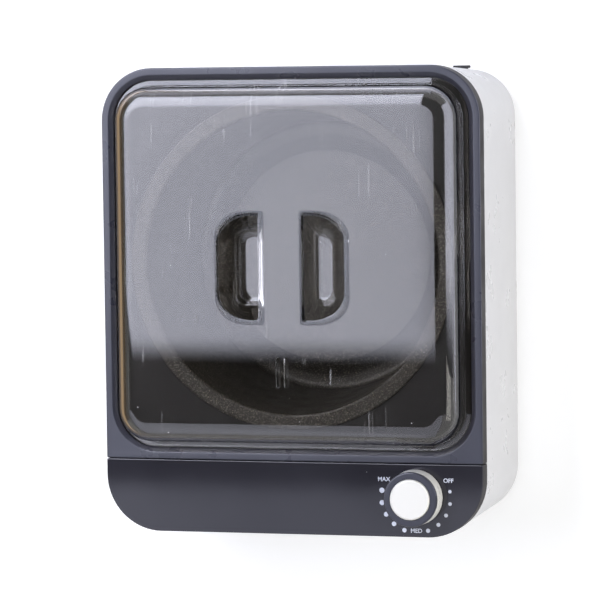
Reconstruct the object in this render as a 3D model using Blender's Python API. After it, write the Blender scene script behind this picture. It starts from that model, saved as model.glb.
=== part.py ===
"""A bench-top wax heater: a white housing with a slate frame, a removable pot under a clear smoky lid,
and a turning heat knob on its glossy front panel.

The appliance lies flat as in use: +Z is up through the lid, the knob is at the front (-Y) and the cord
leaves at the rear (+Y). The origin is under the middle of the part, on the plane of its feet.
Lengths are metres.
"""

import math

import bmesh
import bpy
from mathutils import Matrix, Vector

# Whole body
body_width = 0.2200
body_length = 0.2620
face_height = 0.1060
rear_corner_radius = 0.0295
front_corner_radius = 0.0320
seat_gap = 0.0003
cut_overrun = 0.0010

# White housing
housing_wall = 0.0025
housing_draft = 0.0032
housing_rim_step = 0.0003
base_edge_radius = 0.0060
base_ledge_inset = 0.0160
base_ledge_width = 0.0100
base_ledge_thickness = 0.0025

# Bottom plate, feet and the long screws
plate_thickness = 0.0030
plate_vent_length = 0.0400
plate_vent_width = 0.0030
plate_vent_pitch = 0.0110
plate_vent_reach = 2
foot_height = 0.0030
foot_radius = 0.0075
foot_socket_depth = 0.0012
foot_inset = 0.0350
screw_inset = 0.0200
screw_end_distance = 0.0340
screw_front_distance = 0.0360
screw_shank_radius = 0.0014
screw_head_radius = 0.0029
screw_head_height = 0.0014
screw_length = 0.0180
screw_clearance = 0.0004

# Slate frame
bezel_depth = 0.0094
bezel_edge_radius = 0.0008
bezel_face_width = 0.0042
bezel_slope_width = 0.0023
bezel_slope_drop = 0.0016
skirt_wall = 0.0020
sharp_corner_radius = 0.0008
snap_tab_width = 0.0120
snap_tab_thickness = 0.0014
snap_tab_length = 0.0070

# Glossy control panel
panel_length = 0.0411
panel_skin = 0.0025
panel_edge_radius = 0.0010

# Deck under the lid
deck_thickness = 0.0025
post_radius = 0.0042
pilot_depth = 0.0160

# Pot and where it stands
pot_shift = 0.00075
pot_side_margin = 0.0096
pot_flange_width = 0.00915
pot_flange_drop = 0.0024
pot_side_draft = 0.00665
pot_trough_width = 0.0083
pot_trough_slope = 0.0085
under_pot_space = 0.0174
pot_plateau_height = 0.0056
pot_wall = 0.0014
pot_lip_radius = 0.0020
pot_heel_radius = 0.0040
pot_dimple_radius = 0.0032
pot_dimple_depth = 0.0005

# Heated well below the deck
well_side_gap = 0.0016
well_floor_gap = 0.0005
well_wall = 0.0012
well_flange_width = 0.0090
deck_hole_clearance = 0.0021
seal_thickness = 0.0015
seal_inset = 0.0012
well_screw_radius = 0.0013
well_screw_head_radius = 0.0025
well_screw_head_height = 0.0014
well_screw_length = 0.0050
well_screw_count = 3
well_screw_turn = math.radians(34)
insulation_thickness = 0.0060
insulation_top_margin = 0.0060
insulation_base_margin = 0.0050

# Heating element under the well, its clamp, the sensor bulb and the thermal fuse
element_ring_inset = 0.0063
element_tube_radius = 0.0033
element_half_gap = 0.0140
element_tail_length = 0.0180
element_tail_bend = 0.0090
element_pin_radius = 0.0012
element_pin_length = 0.0070
element_bead_length = 0.0020
element_step = 0.0110
element_arc_steps = 20
clamp_thickness = 0.0015
clamp_width = 0.0140
clamp_overhang = 0.0045
stud_radius = 0.0020
nut_radius = 0.0042
nut_height = 0.0026
nut_sides = 6
stud_tip = 0.0008
bulb_radius = 0.0030
bulb_end_margin = 0.0240
fuse_radius = 0.0022
fuse_length = 0.0130
fuse_lead_radius = 0.0006
fuse_lead_length = 0.0060
saddle_strap = 0.0010
saddle_foot = 0.0060
saddle_width = 0.0090
saddle_steps = 6

# Clear lid
lid_rise = 0.0170
lid_wall = 0.0022
lid_side_gap = 0.0005
lid_lip_width = 0.0038
lid_flat_inset = 0.0153
lid_shoulder_turn = math.radians(75)
opening_corner_radius = 0.0230
lid_lip_edge = 0.0004
lid_shoulder_steps = 5

# Finger pockets and vent slots of the lid
pocket_length = 0.0584
pocket_width = 0.0231
pocket_depth = 0.0150
pocket_spacing = 0.0267
pocket_shift = 0.0018
pocket_grip_corner = 0.0018
pocket_curve_length = 0.0154
pocket_curve_width = 0.0195
pocket_rim_width = 0.0024
pocket_rim_drop = 0.0003
pocket_floor_grip_draft = 0.0018
pocket_floor_outer_draft = 0.0092
pocket_floor_end_draft = 0.0100
pocket_floor_curve = 0.0055
pocket_floor_radius = 0.0025
lid_vent_length = 0.0168
lid_vent_width = 0.0023
lid_vent_pitch = 0.0045
lid_vent_margin = 0.0205

# Knob on its shaft
knob_from_side = 0.0385
knob_from_front = 0.0225
knob_radius = 0.01555
knob_clearance = 0.0008
knob_body_height = 0.0100
knob_draft = 0.0003
knob_skirt_wall = 0.0020
knob_hub_radius = 0.0055
knob_ring_height = 0.0022
knob_ring_edge = 0.0009
knob_cap_radius = 0.0113
knob_cap_proud = 0.0016
knob_cap_edge = 0.0012
shaft_radius = 0.0030
shaft_flat = 0.0010
shaft_reach = 0.0080
shaft_seat_depth = 0.0080

# Thermostat behind the panel
thermostat_width = 0.0340
thermostat_length = 0.0270
thermostat_height = 0.0220
thermostat_corner = 0.0020
thermostat_neck_radius = 0.0047
thermostat_neck_height = 0.0018
thermostat_screw_offset = 0.0100
thermostat_screw_radius = 0.0015
thermostat_screw_head_radius = 0.0028
thermostat_screw_length = 0.0080
blade_width = 0.0063
blade_thickness = 0.0008
blade_length = 0.0075
blade_offset = 0.0070

# Terminal block, cord gland and inner wires
block_width = 0.0260
block_length = 0.0150
block_height = 0.0120
block_corner = 0.0015
block_from_side = 0.0440
block_from_rear = 0.0340
block_screw_radius = 0.0016
block_screw_sink = 0.0010
block_screw_pitch = 0.0130
gland_from_side = 0.0310
gland_from_base = 0.0190
gland_proud = 0.0015
gland_radius = 0.0050
gland_neck_radius = 0.0038
gland_nut_radius = 0.0060
gland_nut_height = 0.0035
gland_nut_margin = 0.0008
gland_reach = 0.0085
gland_bore_width = 0.0056
gland_bore_height = 0.0036
gland_edge = 0.0004
wire_radius = 0.0011
capillary_radius = 0.0009
wire_step = 0.0150
wire_lane = 0.0060
wire_drop = 0.0180
wire_lift = 0.0035

# Facets
corner_steps = 7
pocket_steps = 5
rim_steps = 3
edge_steps = 3
arc_steps = 2
sharp_steps = 2
tab_steps = 1
large_round = 48
middle_round = 28
small_round = 12
tiny_round = 8

# Shares
shank_tip_share = 0.35
snap_tab_side_shares = (-0.55, 0.0, 0.55)
snap_tab_rear_shares = (-0.45, 0.45)
panel_tab_shares = (-0.55, 0.0, 0.55)
pocket_curve_share = 0.86
pocket_grip_share = 0.13
slot_round_share = 0.49
bore_round_share = 0.98
foot_waist_share = 0.93
capillary_shares = (0.95, 0.90)
under_well_share = 0.4727
inner_lane_share = 0.60
outer_lane_share = 0.72

# Places that several pieces share
rear_y = body_length / 2
front_y = rear_y - body_length
seam_y = front_y + panel_length
frame_length = rear_y - seam_y
half_width = body_width / 2
base_z = foot_height
rim_z = face_height - bezel_depth - seat_gap
bezel_width = bezel_face_width + bezel_slope_width
pot_y = rear_y - frame_length / 2 + pot_shift
pot_flange_radius = min(half_width, frame_length / 2) - bezel_width - pot_side_margin
pot_mouth_radius = pot_flange_radius - pot_flange_width
pot_floor_radius = pot_mouth_radius - pot_side_draft
pot_trough_inner_radius = pot_floor_radius - pot_trough_width
pot_plateau_radius = pot_trough_inner_radius - pot_trough_slope
element_ring_radius = pot_plateau_radius - element_ring_inset
bulb_length = 2 * (element_ring_radius - bulb_end_margin)
bulb_y = pot_y - under_well_share * element_ring_radius
fuse_y = pot_y + under_well_share * element_ring_radius
tab_inset = housing_rim_step + housing_wall + seat_gap
deck_inset = tab_inset + snap_tab_thickness + seat_gap
flange_z = face_height - pot_flange_drop
deck_z = flange_z - pot_wall - seat_gap
lip_bottom_z = deck_z + seat_gap
lid_top_z = face_height + lid_rise
plate_top_z = base_z + plate_thickness
ledge_bottom_z = plate_top_z + seat_gap
ledge_top_z = ledge_bottom_z + base_ledge_thickness
pot_floor_z = plate_top_z + under_pot_space
pot_base_z = pot_floor_z - pot_wall
well_floor_z = pot_base_z - well_floor_gap
well_base_z = well_floor_z - well_wall
deck_hole_radius = pot_mouth_radius + pot_wall + deck_hole_clearance
seal_top_z = deck_z - deck_thickness - seat_gap
well_top_z = seal_top_z - seal_thickness - seat_gap
knob_x = half_width - knob_from_side
knob_y = front_y + knob_from_front
block_x = half_width - block_from_side
gland_x = half_width - gland_from_side
wire_z = plate_top_z + wire_lift
lid_flat_y = seam_y + bezel_width + lid_side_gap + lid_flat_inset
thermostat_top_z = face_height - panel_skin - seat_gap
element_z = well_base_z - seat_gap - element_tube_radius
clamp_top_z = element_z - element_tube_radius - seat_gap


def clear_scene():
    """Remove what the file holds, so that the model starts empty."""
    for old in list(bpy.data.objects):
        bpy.data.objects.remove(old, do_unlink=True)


def finish(name, colour, roughness, metallic=0.0, transmission=0.0):
    """A Principled material in the colour of the part."""
    material = bpy.data.materials.new(name)
    material.use_nodes = True
    shader = material.node_tree.nodes["Principled BSDF"]
    shader.inputs["Base Color"].default_value = (*colour, 1.0)
    shader.inputs["Roughness"].default_value = roughness
    shader.inputs["Metallic"].default_value = metallic
    shader.inputs["Transmission Weight"].default_value = transmission
    return material


def make_object(name, mesh, material=None):
    """Link a mesh to the scene as one smooth-shaded object."""
    thing = bpy.data.objects.new(name, mesh)
    bpy.context.scene.collection.objects.link(thing)
    if material:
        mesh.materials.append(material)
    mesh.shade_smooth()
    mesh.set_sharp_from_angle(angle=math.radians(35))
    return thing


def mesh_from(name, build):
    """Run a bmesh builder and turn its faces outwards."""
    work = bmesh.new()
    build(work)
    bmesh.ops.recalc_face_normals(work, faces=work.faces)
    mesh = bpy.data.meshes.new(name)
    work.to_mesh(mesh)
    work.free()
    return mesh


def bridge_rows(work, rows):
    """Join neighbouring rows of points with four-sided faces."""
    for low, high in rows:
        count = len(low)
        for here in range(count):
            there = (here + 1) % count
            work.faces.new((low[here], low[there], high[there], high[here]))


def loft(name, loops, material=None, ring=False):
    """A solid through a list of closed loops, capped at both ends or joined end to end as a ring."""

    def build(work):
        rows = [[work.verts.new(point) for point in loop] for loop in loops]
        pairs = list(zip(rows, rows[1:]))
        if ring:
            pairs.append((rows[-1], rows[0]))
        else:
            work.faces.new(rows[0])
            work.faces.new(rows[-1])
        bridge_rows(work, pairs)

    return make_object(name, mesh_from(name, build), material)


def circle(radius, z, segments=small_round):
    """A level circle of points about the upright axis."""
    turns = (2 * math.pi * index / segments for index in range(segments))
    return [(radius * math.cos(turn), radius * math.sin(turn), z) for turn in turns]


def turned(name, profile, centre=(0, 0), segments=small_round, material=None, ring=False):
    """A solid turned from (radius, height) pairs, its origin on its axis; a ring has no axis point."""
    if ring:
        thing = loft(name, [circle(radius, z, segments) for radius, z in profile], material, ring=True)
        thing.location = (*centre, 0)
        return thing

    def build(work):
        rows = []
        for radius, z in profile:
            if radius > 0:
                rows.append([work.verts.new(point) for point in circle(radius, z, segments)])
            else:
                rows.append([work.verts.new((0, 0, z))])
        for low, high in zip(rows, rows[1:]):
            for here in range(segments):
                there = (here + 1) % segments
                if len(low) == 1:
                    work.faces.new((low[0], high[there], high[here]))
                elif len(high) == 1:
                    work.faces.new((low[here], low[there], high[0]))
                else:
                    work.faces.new((low[here], low[there], high[there], high[here]))

    thing = make_object(name, mesh_from(name, build), material)
    thing.location = (*centre, 0)
    return thing


def arc_points(centre, radius, start, stop, steps):
    """Points of an arc in a profile, ends included; angles in degrees."""
    angles = (math.radians(start + (stop - start) * index / steps) for index in range(steps + 1))
    return [(centre[0] + radius * math.cos(angle), centre[1] + radius * math.sin(angle)) for angle in angles]


def rounded_outline(half, front, rear, front_radius, rear_radius, steps=(corner_steps, corner_steps)):
    """A rounded rectangle, anticlockwise from its front right corner."""
    front_steps, rear_steps = steps
    corners = (
        (half - front_radius, front + front_radius, front_radius, -90, front_steps),
        (half - rear_radius, rear - rear_radius, rear_radius, 0, rear_steps),
        (rear_radius - half, rear - rear_radius, rear_radius, 90, rear_steps),
        (front_radius - half, front + front_radius, front_radius, 180, front_steps),
    )
    points = []
    for x, y, radius, start, count in corners:
        points += arc_points((x, y), radius, start, start + 90, count)
    return points


def inset_outline(inset, half, front, rear, radii, steps=(corner_steps, corner_steps)):
    """A rounded rectangle drawn in by an even amount, with its corners kept round."""
    shrunk = [max(radius - inset, sharp_corner_radius) for radius in radii]
    return rounded_outline(half - inset, front + inset, rear - inset, *shrunk, steps)


def body_loop(inset, z):
    """The outline of the whole body, drawn in, at a height."""
    radii = (front_corner_radius, rear_corner_radius)
    return [(x, y, z) for x, y in inset_outline(inset, half_width, front_y, rear_y, radii)]


def frame_loop(inset, z):
    """The outline of the slate frame: round at the rear, square at the seam with the panel."""
    radii = (sharp_corner_radius, rear_corner_radius)
    steps = (sharp_steps, corner_steps)
    front = seam_y + seat_gap / 2
    return [(x, y, z) for x, y in inset_outline(inset, half_width, front, rear_y, radii, steps)]


def opening_loop(inset, z):
    """The outline of the frame's opening, drawn in from its lower edge."""
    half = half_width - bezel_width
    radii = (opening_corner_radius, opening_corner_radius)
    front = seam_y + bezel_width
    return [(x, y, z) for x, y in inset_outline(inset, half, front, rear_y - bezel_width, radii)]


def panel_loop(inset, z):
    """The outline of the control panel: square at the seam, round at the front."""
    radii = (front_corner_radius, sharp_corner_radius)
    steps = (corner_steps, sharp_steps)
    rear = seam_y - seat_gap / 2
    return [(x, y, z) for x, y in inset_outline(inset, half_width, front_y, rear, radii, steps)]


def block(name, centre, size, radius, bottom, top, material=None, steps=sharp_steps):
    """An upright block with rounded corners, its origin on its middle line."""
    outline = rounded_outline(size[0] / 2, -size[1] / 2, size[1] / 2, radius, radius, (steps, steps))
    thing = loft(name, [[(x, y, z) for x, y in outline] for z in (bottom, top)], material)
    thing.location = (*centre, 0)
    return thing


def combine(target, tool, operation):
    """Join a tool solid to a piece or cut it away, and keep the tool as a guide."""
    tool.hide_render = True
    tool.display_type = "WIRE"
    change = target.modifiers.new(tool.name, "BOOLEAN")
    change.operation = operation
    change.solver = "EXACT"
    change.object = tool


def cut(target, tool):
    combine(target, tool, "DIFFERENCE")


def add(target, tool):
    combine(target, tool, "UNION")


def pivot(name, place, parent=None):
    """An empty that a body of the part hangs from."""
    empty = bpy.data.objects.new(name, None)
    bpy.context.scene.collection.objects.link(empty)
    empty.location = place
    empty.parent = parent
    return empty


def hang(pieces, empty, place):
    """Parent pieces to an empty that stands at a place, so that each stays where it is."""
    for piece in pieces:
        piece.parent = empty
        piece.location = piece.location - Vector(place)


def recentre(thing, place):
    """Move an object's origin to a place and leave its shape where it is."""
    thing.data.transform(Matrix.Translation(-Vector(place)))
    thing.location = place


def lying(thing, place):
    """Turn an upright solid so that its axis runs towards +Y, and place it."""
    thing.rotation_euler = (math.radians(-90), 0, 0)
    thing.location = place
    return thing


def lengthways(thing, place):
    """Turn an upright solid so that its axis runs along X, and place it."""
    thing.rotation_euler = (0, math.radians(90), 0)
    thing.location = place
    return thing


def tube(name, points, radius, material, resolution=1):
    """A round wire or tube along a list of points, with closed ends."""
    curve = bpy.data.curves.new(name, "CURVE")
    curve.dimensions = "3D"
    curve.bevel_depth = radius
    curve.bevel_resolution = resolution
    curve.use_fill_caps = True
    spline = curve.splines.new("POLY")
    spline.points.add(len(points) - 1)
    for slot, point in zip(spline.points, points):
        slot.co = (*point, 1)
    curve.materials.append(material)
    thing = bpy.data.objects.new(name, curve)
    bpy.context.scene.collection.objects.link(thing)
    return thing


def smooth_route(points, step=wire_step):
    """Points along a smooth curve that passes through the chosen ones."""
    corners = [Vector(point) for point in points]
    padded = [corners[0] * 2 - corners[1], *corners, corners[-1] * 2 - corners[-2]]
    route = [corners[0]]
    for before, start, end, after in zip(padded, padded[1:], padded[2:], padded[3:]):
        count = max(1, round((end - start).length / step))
        for index in range(1, count + 1):
            t = index / count
            route.append(0.5 * (
                2 * start + (end - before) * t
                + (2 * before - 5 * start + 4 * end - after) * t ** 2
                + (3 * start - before - 3 * end + after) * t ** 3
            ))
    return route


# Housing, bottom plate, feet and long screws

def screw_places():
    """The four long screws, on the ledge beside the corners."""
    x = half_width - screw_inset
    rear = rear_y - screw_end_distance
    front = seam_y + screw_front_distance
    return [(side * x, y) for y in (front, rear) for side in (-1, 1)]


def foot_places():
    x = half_width - foot_inset
    ends = (("front", front_y + foot_inset), ("rear", rear_y - foot_inset))
    return {f"{end}_{side}": (sign * x, y) for end, y in ends for side, sign in (("left", -1), ("right", 1))}


def make_housing(white):
    """The white walls: drafted, rounded at the base, with a ledge all round for the bottom plate."""
    outer_base = housing_draft + base_edge_radius
    edge = [(outer_base - x, base_z + base_edge_radius - y)
            for x, y in arc_points((0, 0), base_edge_radius, 90, 0, edge_steps)]
    inner_radius = base_edge_radius - housing_wall
    inner_z = ledge_top_z + inner_radius
    inner_base = housing_draft + housing_wall + inner_radius
    corner = [(inner_base - x, inner_z - y) for x, y in arc_points((0, 0), inner_radius, 0, 90, arc_steps)]
    section = [(base_ledge_inset, base_z)] + edge
    section += [(housing_rim_step, rim_z), (housing_rim_step + housing_wall, rim_z)] + corner
    ledge_end = base_ledge_inset + base_ledge_width
    section += [(ledge_end, ledge_top_z), (ledge_end, ledge_bottom_z), (base_ledge_inset, ledge_bottom_z)]
    housing = loft("housing", [body_loop(inset, z) for inset, z in section], white, ring=True)
    hole_radius = screw_shank_radius + screw_clearance
    for index, place in enumerate(screw_places()):
        profile = [(0, ledge_bottom_z - cut_overrun), (hole_radius, ledge_bottom_z - cut_overrun),
                   (hole_radius, ledge_top_z + cut_overrun), (0, ledge_top_z + cut_overrun)]
        cut(housing, turned(f"housing_hole_{index}", profile, place))
    cut(housing, gland_hole())
    return housing


def make_bottom_plate(material):
    """The flat plate in the ledge's recess, with vents, sockets for the feet and countersunk holes."""
    inset = base_ledge_inset + seat_gap
    loops = [body_loop(inset, base_z), body_loop(inset, plate_top_z)]
    plate = loft("bottom_plate", loops, material)
    low = base_z - cut_overrun
    high = plate_top_z + cut_overrun
    size = (plate_vent_length, plate_vent_width)
    round_end = plate_vent_width * slot_round_share
    for row in (-1, 1):
        for index in range(-plate_vent_reach, plate_vent_reach + 1):
            centre = (row * plate_vent_length, pot_y + index * plate_vent_pitch)
            name = f"plate_vent_{row}_{index}"
            cut(plate, block(name, centre, size, round_end, low, high, steps=sharp_steps))
    for name, place in foot_places().items():
        radius = foot_radius + seat_gap
        depth = base_z + foot_socket_depth
        profile = [(0, low), (radius, low), (radius, depth), (0, depth)]
        cut(plate, turned(f"foot_socket_{name}", profile, place, middle_round // 2))
    for index, place in enumerate(screw_places()):
        head = screw_head_radius + screw_clearance
        shank = screw_shank_radius + screw_clearance
        seat = base_z + screw_head_height + seat_gap
        profile = [(0, low), (head, low), (head, seat), (shank, seat), (shank, high), (0, high)]
        cut(plate, turned(f"plate_hole_{index}", profile, place))
    return plate


def make_feet(rubber):
    """Four rubber feet, pressed into the sockets of the bottom plate."""
    top = base_z + foot_socket_depth - seat_gap
    waist = foot_radius * foot_waist_share
    for name, place in foot_places().items():
        profile = [(0, 0), (waist, 0), (foot_radius, base_z - seat_gap), (foot_radius, top), (0, top)]
        turned(f"foot_{name}", profile, place, middle_round // 2, rubber)


def make_long_screws(steel):
    """Screws that hold the plate, the housing and the deck's posts together."""
    for index, place in enumerate(screw_places()):
        bottom = base_z + seat_gap / 2
        neck = bottom + screw_head_height
        tip = neck + screw_length
        profile = [(0, bottom), (screw_head_radius, bottom), (screw_head_radius, neck),
                   (screw_shank_radius, neck), (screw_shank_radius, tip - screw_shank_radius),
                   (screw_shank_radius * shank_tip_share, tip), (0, tip)]
        turned(f"housing_screw_{index + 1}", profile, place, material=steel)


# Slate frame, control panel and deck

def add_snap_tabs(piece, places, top):
    """Flat tabs that hang from a piece just inside the housing's walls."""
    bottom = rim_z - snap_tab_length
    for index, (x, y, along_x) in enumerate(places):
        size = (snap_tab_width, snap_tab_thickness) if along_x else (snap_tab_thickness, snap_tab_width)
        name = f"{piece.name}_tab_{index}"
        add(piece, block(name, (x, y), size, snap_tab_thickness / 4, bottom, top, steps=tab_steps))


def make_frame(slate):
    """The frame round the lid: skirt, flat face, slope to the opening and a foot on the deck's border."""
    skirt_z = rim_z + seat_gap
    foot_z = deck_z + seat_gap
    rim = [(bezel_edge_radius - x, face_height - bezel_edge_radius + y)
           for x, y in arc_points((0, 0), bezel_edge_radius, 0, 90, edge_steps)]
    frame = loft("top_frame", [frame_loop(inset, z) for inset, z in [(0, skirt_z)] + rim], slate)
    hollow = [frame_loop(skirt_wall, skirt_z - cut_overrun), frame_loop(skirt_wall, foot_z)]
    cut(frame, loft("frame_hollow", hollow))
    opening = [opening_loop(0, skirt_z), opening_loop(0, face_height - bezel_slope_drop),
               opening_loop(-bezel_slope_width, face_height),
               opening_loop(-bezel_slope_width, face_height + cut_overrun)]
    cut(frame, loft("frame_opening", opening))
    x = half_width - tab_inset - snap_tab_thickness / 2
    y = rear_y - tab_inset - snap_tab_thickness / 2
    reach = (rear_y - seam_y) / 2
    places = [(side * x, pot_y + share * reach, False) for side in (-1, 1) for share in snap_tab_side_shares]
    places += [(share * half_width, y, True) for share in snap_tab_rear_shares]
    add_snap_tabs(frame, places, foot_z + skirt_wall)
    return frame


def make_panel(gloss):
    """The control panel: a shallow tray turned over, with holes for the shaft and its screws."""
    skirt_z = rim_z + seat_gap
    under = face_height - panel_skin
    rim = [(panel_edge_radius - x, face_height - panel_edge_radius + y)
           for x, y in arc_points((0, 0), panel_edge_radius, 0, 90, edge_steps)]
    panel = loft("control_panel", [panel_loop(inset, z) for inset, z in [(0, skirt_z)] + rim], gloss)
    hollow = [panel_loop(skirt_wall, skirt_z - cut_overrun), panel_loop(skirt_wall, under)]
    cut(panel, loft("panel_hollow", hollow))
    top = face_height + cut_overrun
    low = under - cut_overrun
    neck = thermostat_neck_radius + seat_gap
    cut(panel, turned("panel_shaft_hole", [(0, low), (neck, low), (neck, top), (0, top)], (knob_x, knob_y)))
    for index, x in enumerate(thermostat_screw_places()):
        shank = thermostat_screw_radius + seat_gap
        head = thermostat_screw_head_radius + seat_gap
        seat = face_height - (head - shank)
        profile = [(0, low), (shank, low), (shank, seat), (head, face_height), (head, top), (0, top)]
        cut(panel, turned(f"panel_screw_hole_{index}", profile, (x, knob_y)))
    y = front_y + tab_inset + snap_tab_thickness / 2
    places = [(share * half_width, y, True) for share in panel_tab_shares]
    add_snap_tabs(panel, places, under + panel_skin / 2)
    return panel


def well_screw_places():
    """Screws on the flange of the well, clear of the front."""
    radius = deck_hole_radius + well_flange_width / 2
    turns = [well_screw_turn + 2 * math.pi * index / well_screw_count for index in range(well_screw_count)]
    return [(radius * math.cos(turn), pot_y + radius * math.sin(turn)) for turn in turns]


def make_deck(material):
    """The deck round the pot: a plate with a round hole and four posts that stand on the ledge."""
    bottom = deck_z - deck_thickness
    deck = loft("deck_plate", [frame_loop(deck_inset, bottom), frame_loop(deck_inset, deck_z)], material)
    hole = [(0, bottom - cut_overrun), (deck_hole_radius, bottom - cut_overrun),
            (deck_hole_radius, deck_z + cut_overrun), (0, deck_z + cut_overrun)]
    cut(deck, turned("deck_hole", hole, (0, pot_y), large_round))
    foot = ledge_top_z + seat_gap
    for index, place in enumerate(screw_places()):
        middle = deck_z - deck_thickness / 2
        post = [(0, foot), (post_radius, foot), (post_radius, middle), (0, middle)]
        add(deck, turned(f"post_{index}", post, place))
        pilot = screw_shank_radius + seat_gap
        bore = [(0, foot - cut_overrun), (pilot, foot - cut_overrun),
                (pilot, foot + pilot_depth), (0, foot + pilot_depth)]
        cut(deck, turned(f"post_bore_{index}", bore, place))
    radius = well_screw_radius + seat_gap
    for index, place in enumerate(well_screw_places()):
        tip = well_screw_tip() + seat_gap
        bore = [(0, bottom - cut_overrun), (radius, bottom - cut_overrun), (radius, tip), (0, tip)]
        cut(deck, turned(f"deck_bore_{index}", bore, place, tiny_round))
    return deck


# Pot, well, seal and insulation

def pot_profile():
    """The pot's inner face from the middle of its floor to the inside of its lip."""
    heel_centre = (pot_floor_radius - pot_heel_radius, pot_floor_z + pot_heel_radius)
    lip_centre = (pot_mouth_radius + pot_lip_radius, flange_z - pot_lip_radius)
    inner = [(0, pot_floor_z + pot_plateau_height), (pot_plateau_radius, pot_floor_z + pot_plateau_height),
             (pot_trough_inner_radius, pot_floor_z)]
    inner += arc_points(heel_centre, pot_heel_radius, -90, 0, arc_steps)
    inner += arc_points(lip_centre, pot_lip_radius, 180, 90, arc_steps)
    return inner


def make_pot(coated):
    """The lift-out pot: raised floor, trough, drafted wall and a flat flange with a turned edge."""
    outer_lip = (pot_mouth_radius + pot_lip_radius, flange_z - pot_lip_radius)
    heel_centre = (pot_floor_radius - pot_heel_radius, pot_floor_z + pot_heel_radius)
    edge = pot_wall / 2
    rim = arc_points((pot_flange_radius - edge, flange_z - edge), edge, 90, -90, arc_steps)
    small = pot_lip_radius - pot_wall
    under_centre = (outer_lip[0] + pot_wall - small, outer_lip[1] - pot_wall + pot_lip_radius - small)
    under = arc_points(under_centre, small, 90, 180, tab_steps)
    heel = arc_points(heel_centre, pot_heel_radius + pot_wall, 0, -90, arc_steps)
    outer = rim + under + heel
    outer += [(pot_trough_inner_radius, pot_base_z),
              (pot_plateau_radius, pot_base_z + pot_plateau_height), (0, pot_base_z + pot_plateau_height)]
    pot = turned("pot", pot_profile() + outer, (0, pot_y), large_round, coated)
    dimple = turned("flange_dimple", [
        (0, flange_z - pot_dimple_depth), (pot_dimple_radius, flange_z - pot_dimple_depth),
        (pot_dimple_radius, flange_z + cut_overrun), (0, flange_z + cut_overrun),
    ], (0, pot_y + (pot_mouth_radius + pot_lip_radius + pot_flange_radius) / 2), middle_round // 2)
    cut(pot, dimple)
    return pot


def well_side():
    """Inner radii of the well at its floor and its top."""
    low = pot_floor_radius + pot_wall + well_side_gap
    high = pot_mouth_radius + pot_wall + well_side_gap
    return low, high


def make_well(aluminium):
    """The metal well that the pot hangs in, with a flange under the deck and a stud below."""
    low, high = well_side()
    flange = deck_hole_radius + well_flange_width
    under = well_top_z - well_wall
    profile = [(0, well_floor_z), (low, well_floor_z), (high, well_top_z), (flange, well_top_z),
               (flange, under), (high + well_wall, under), (low + well_wall, well_base_z),
               (stud_radius, well_base_z), (stud_radius, stud_z()), (0, stud_z())]
    well = turned("heating_well", profile, (0, pot_y), large_round, aluminium)
    radius = well_screw_radius + seat_gap
    for index, place in enumerate(well_screw_places()):
        bore = [(0, under - cut_overrun), (radius, under - cut_overrun),
                (radius, well_top_z + cut_overrun), (0, well_top_z + cut_overrun)]
        cut(well, turned(f"well_bore_{index}", bore, place, tiny_round))
    return well


def stud_z():
    return clamp_top_z - clamp_thickness - seat_gap - nut_height - stud_tip


def well_screw_tip():
    return well_top_z - well_wall - seat_gap + well_screw_length


def make_seal(silicone):
    """The silicone ring between the deck and the flange of the well."""
    inner = deck_hole_radius + seal_inset
    outer = deck_hole_radius + well_flange_width
    bottom = seal_top_z - seal_thickness
    profile = [(inner, bottom), (outer, bottom), (outer, seal_top_z), (inner, seal_top_z)]
    seal = turned("well_seal", profile, (0, pot_y), middle_round, silicone, ring=True)
    radius = well_screw_radius + seat_gap
    for index, place in enumerate(well_screw_places()):
        bore = [(0, bottom - cut_overrun), (radius, bottom - cut_overrun),
                (radius, seal_top_z + cut_overrun), (0, seal_top_z + cut_overrun)]
        cut(seal, turned(f"seal_bore_{index}", bore, place, tiny_round))
    return seal


def make_well_screws(steel):
    """Short screws that hold the well and its seal up against the deck."""
    neck = well_top_z - well_wall - seat_gap
    for index, place in enumerate(well_screw_places()):
        low = neck - well_screw_head_height
        profile = [(0, low), (well_screw_head_radius, low), (well_screw_head_radius, neck),
                   (well_screw_radius, neck),
                   (well_screw_radius, well_screw_tip()), (0, well_screw_tip())]
        turned(f"well_screw_{index + 1}", profile, place, tiny_round, steel)


def make_insulation(felt):
    """A felt sleeve wrapped round the wall of the well."""
    low, high = well_side()
    top = well_top_z - well_wall - insulation_top_margin
    bottom = well_base_z + insulation_base_margin
    height = well_top_z - well_floor_z
    inner_low = low + (high - low) * (bottom - well_floor_z) / height + well_wall + seat_gap
    inner_high = low + (high - low) * (top - well_floor_z) / height + well_wall + seat_gap
    profile = [(inner_low, bottom), (inner_low + insulation_thickness, bottom),
               (inner_high + insulation_thickness, top), (inner_high, top)]
    turned("well_insulation", profile, (0, pot_y), large_round, felt, ring=True)


# Element, clamp, sensor bulb and fuse, all against the underside of the well

def element_route():
    """An open ring with two tails towards the front, from the end of one tail to the end of the other."""
    bend_x = element_half_gap + element_tail_bend
    bend_turn = math.degrees(math.asin(bend_x / element_ring_radius))
    front = -math.sqrt(element_ring_radius ** 2 - bend_x ** 2) - element_tail_bend
    tail = [(element_half_gap, front - element_tail_length), (element_half_gap, front)]
    ring = arc_points((0, 0), element_ring_radius, bend_turn - 90, 270 - bend_turn, element_arc_steps)
    left = [(-x, y) for x, y in reversed(tail)]
    return [(x, pot_y + y, element_z) for x, y in tail + ring + left]


def tail_end():
    """Where the right tail of the element ends; the left one mirrors it."""
    return element_route()[0]


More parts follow.
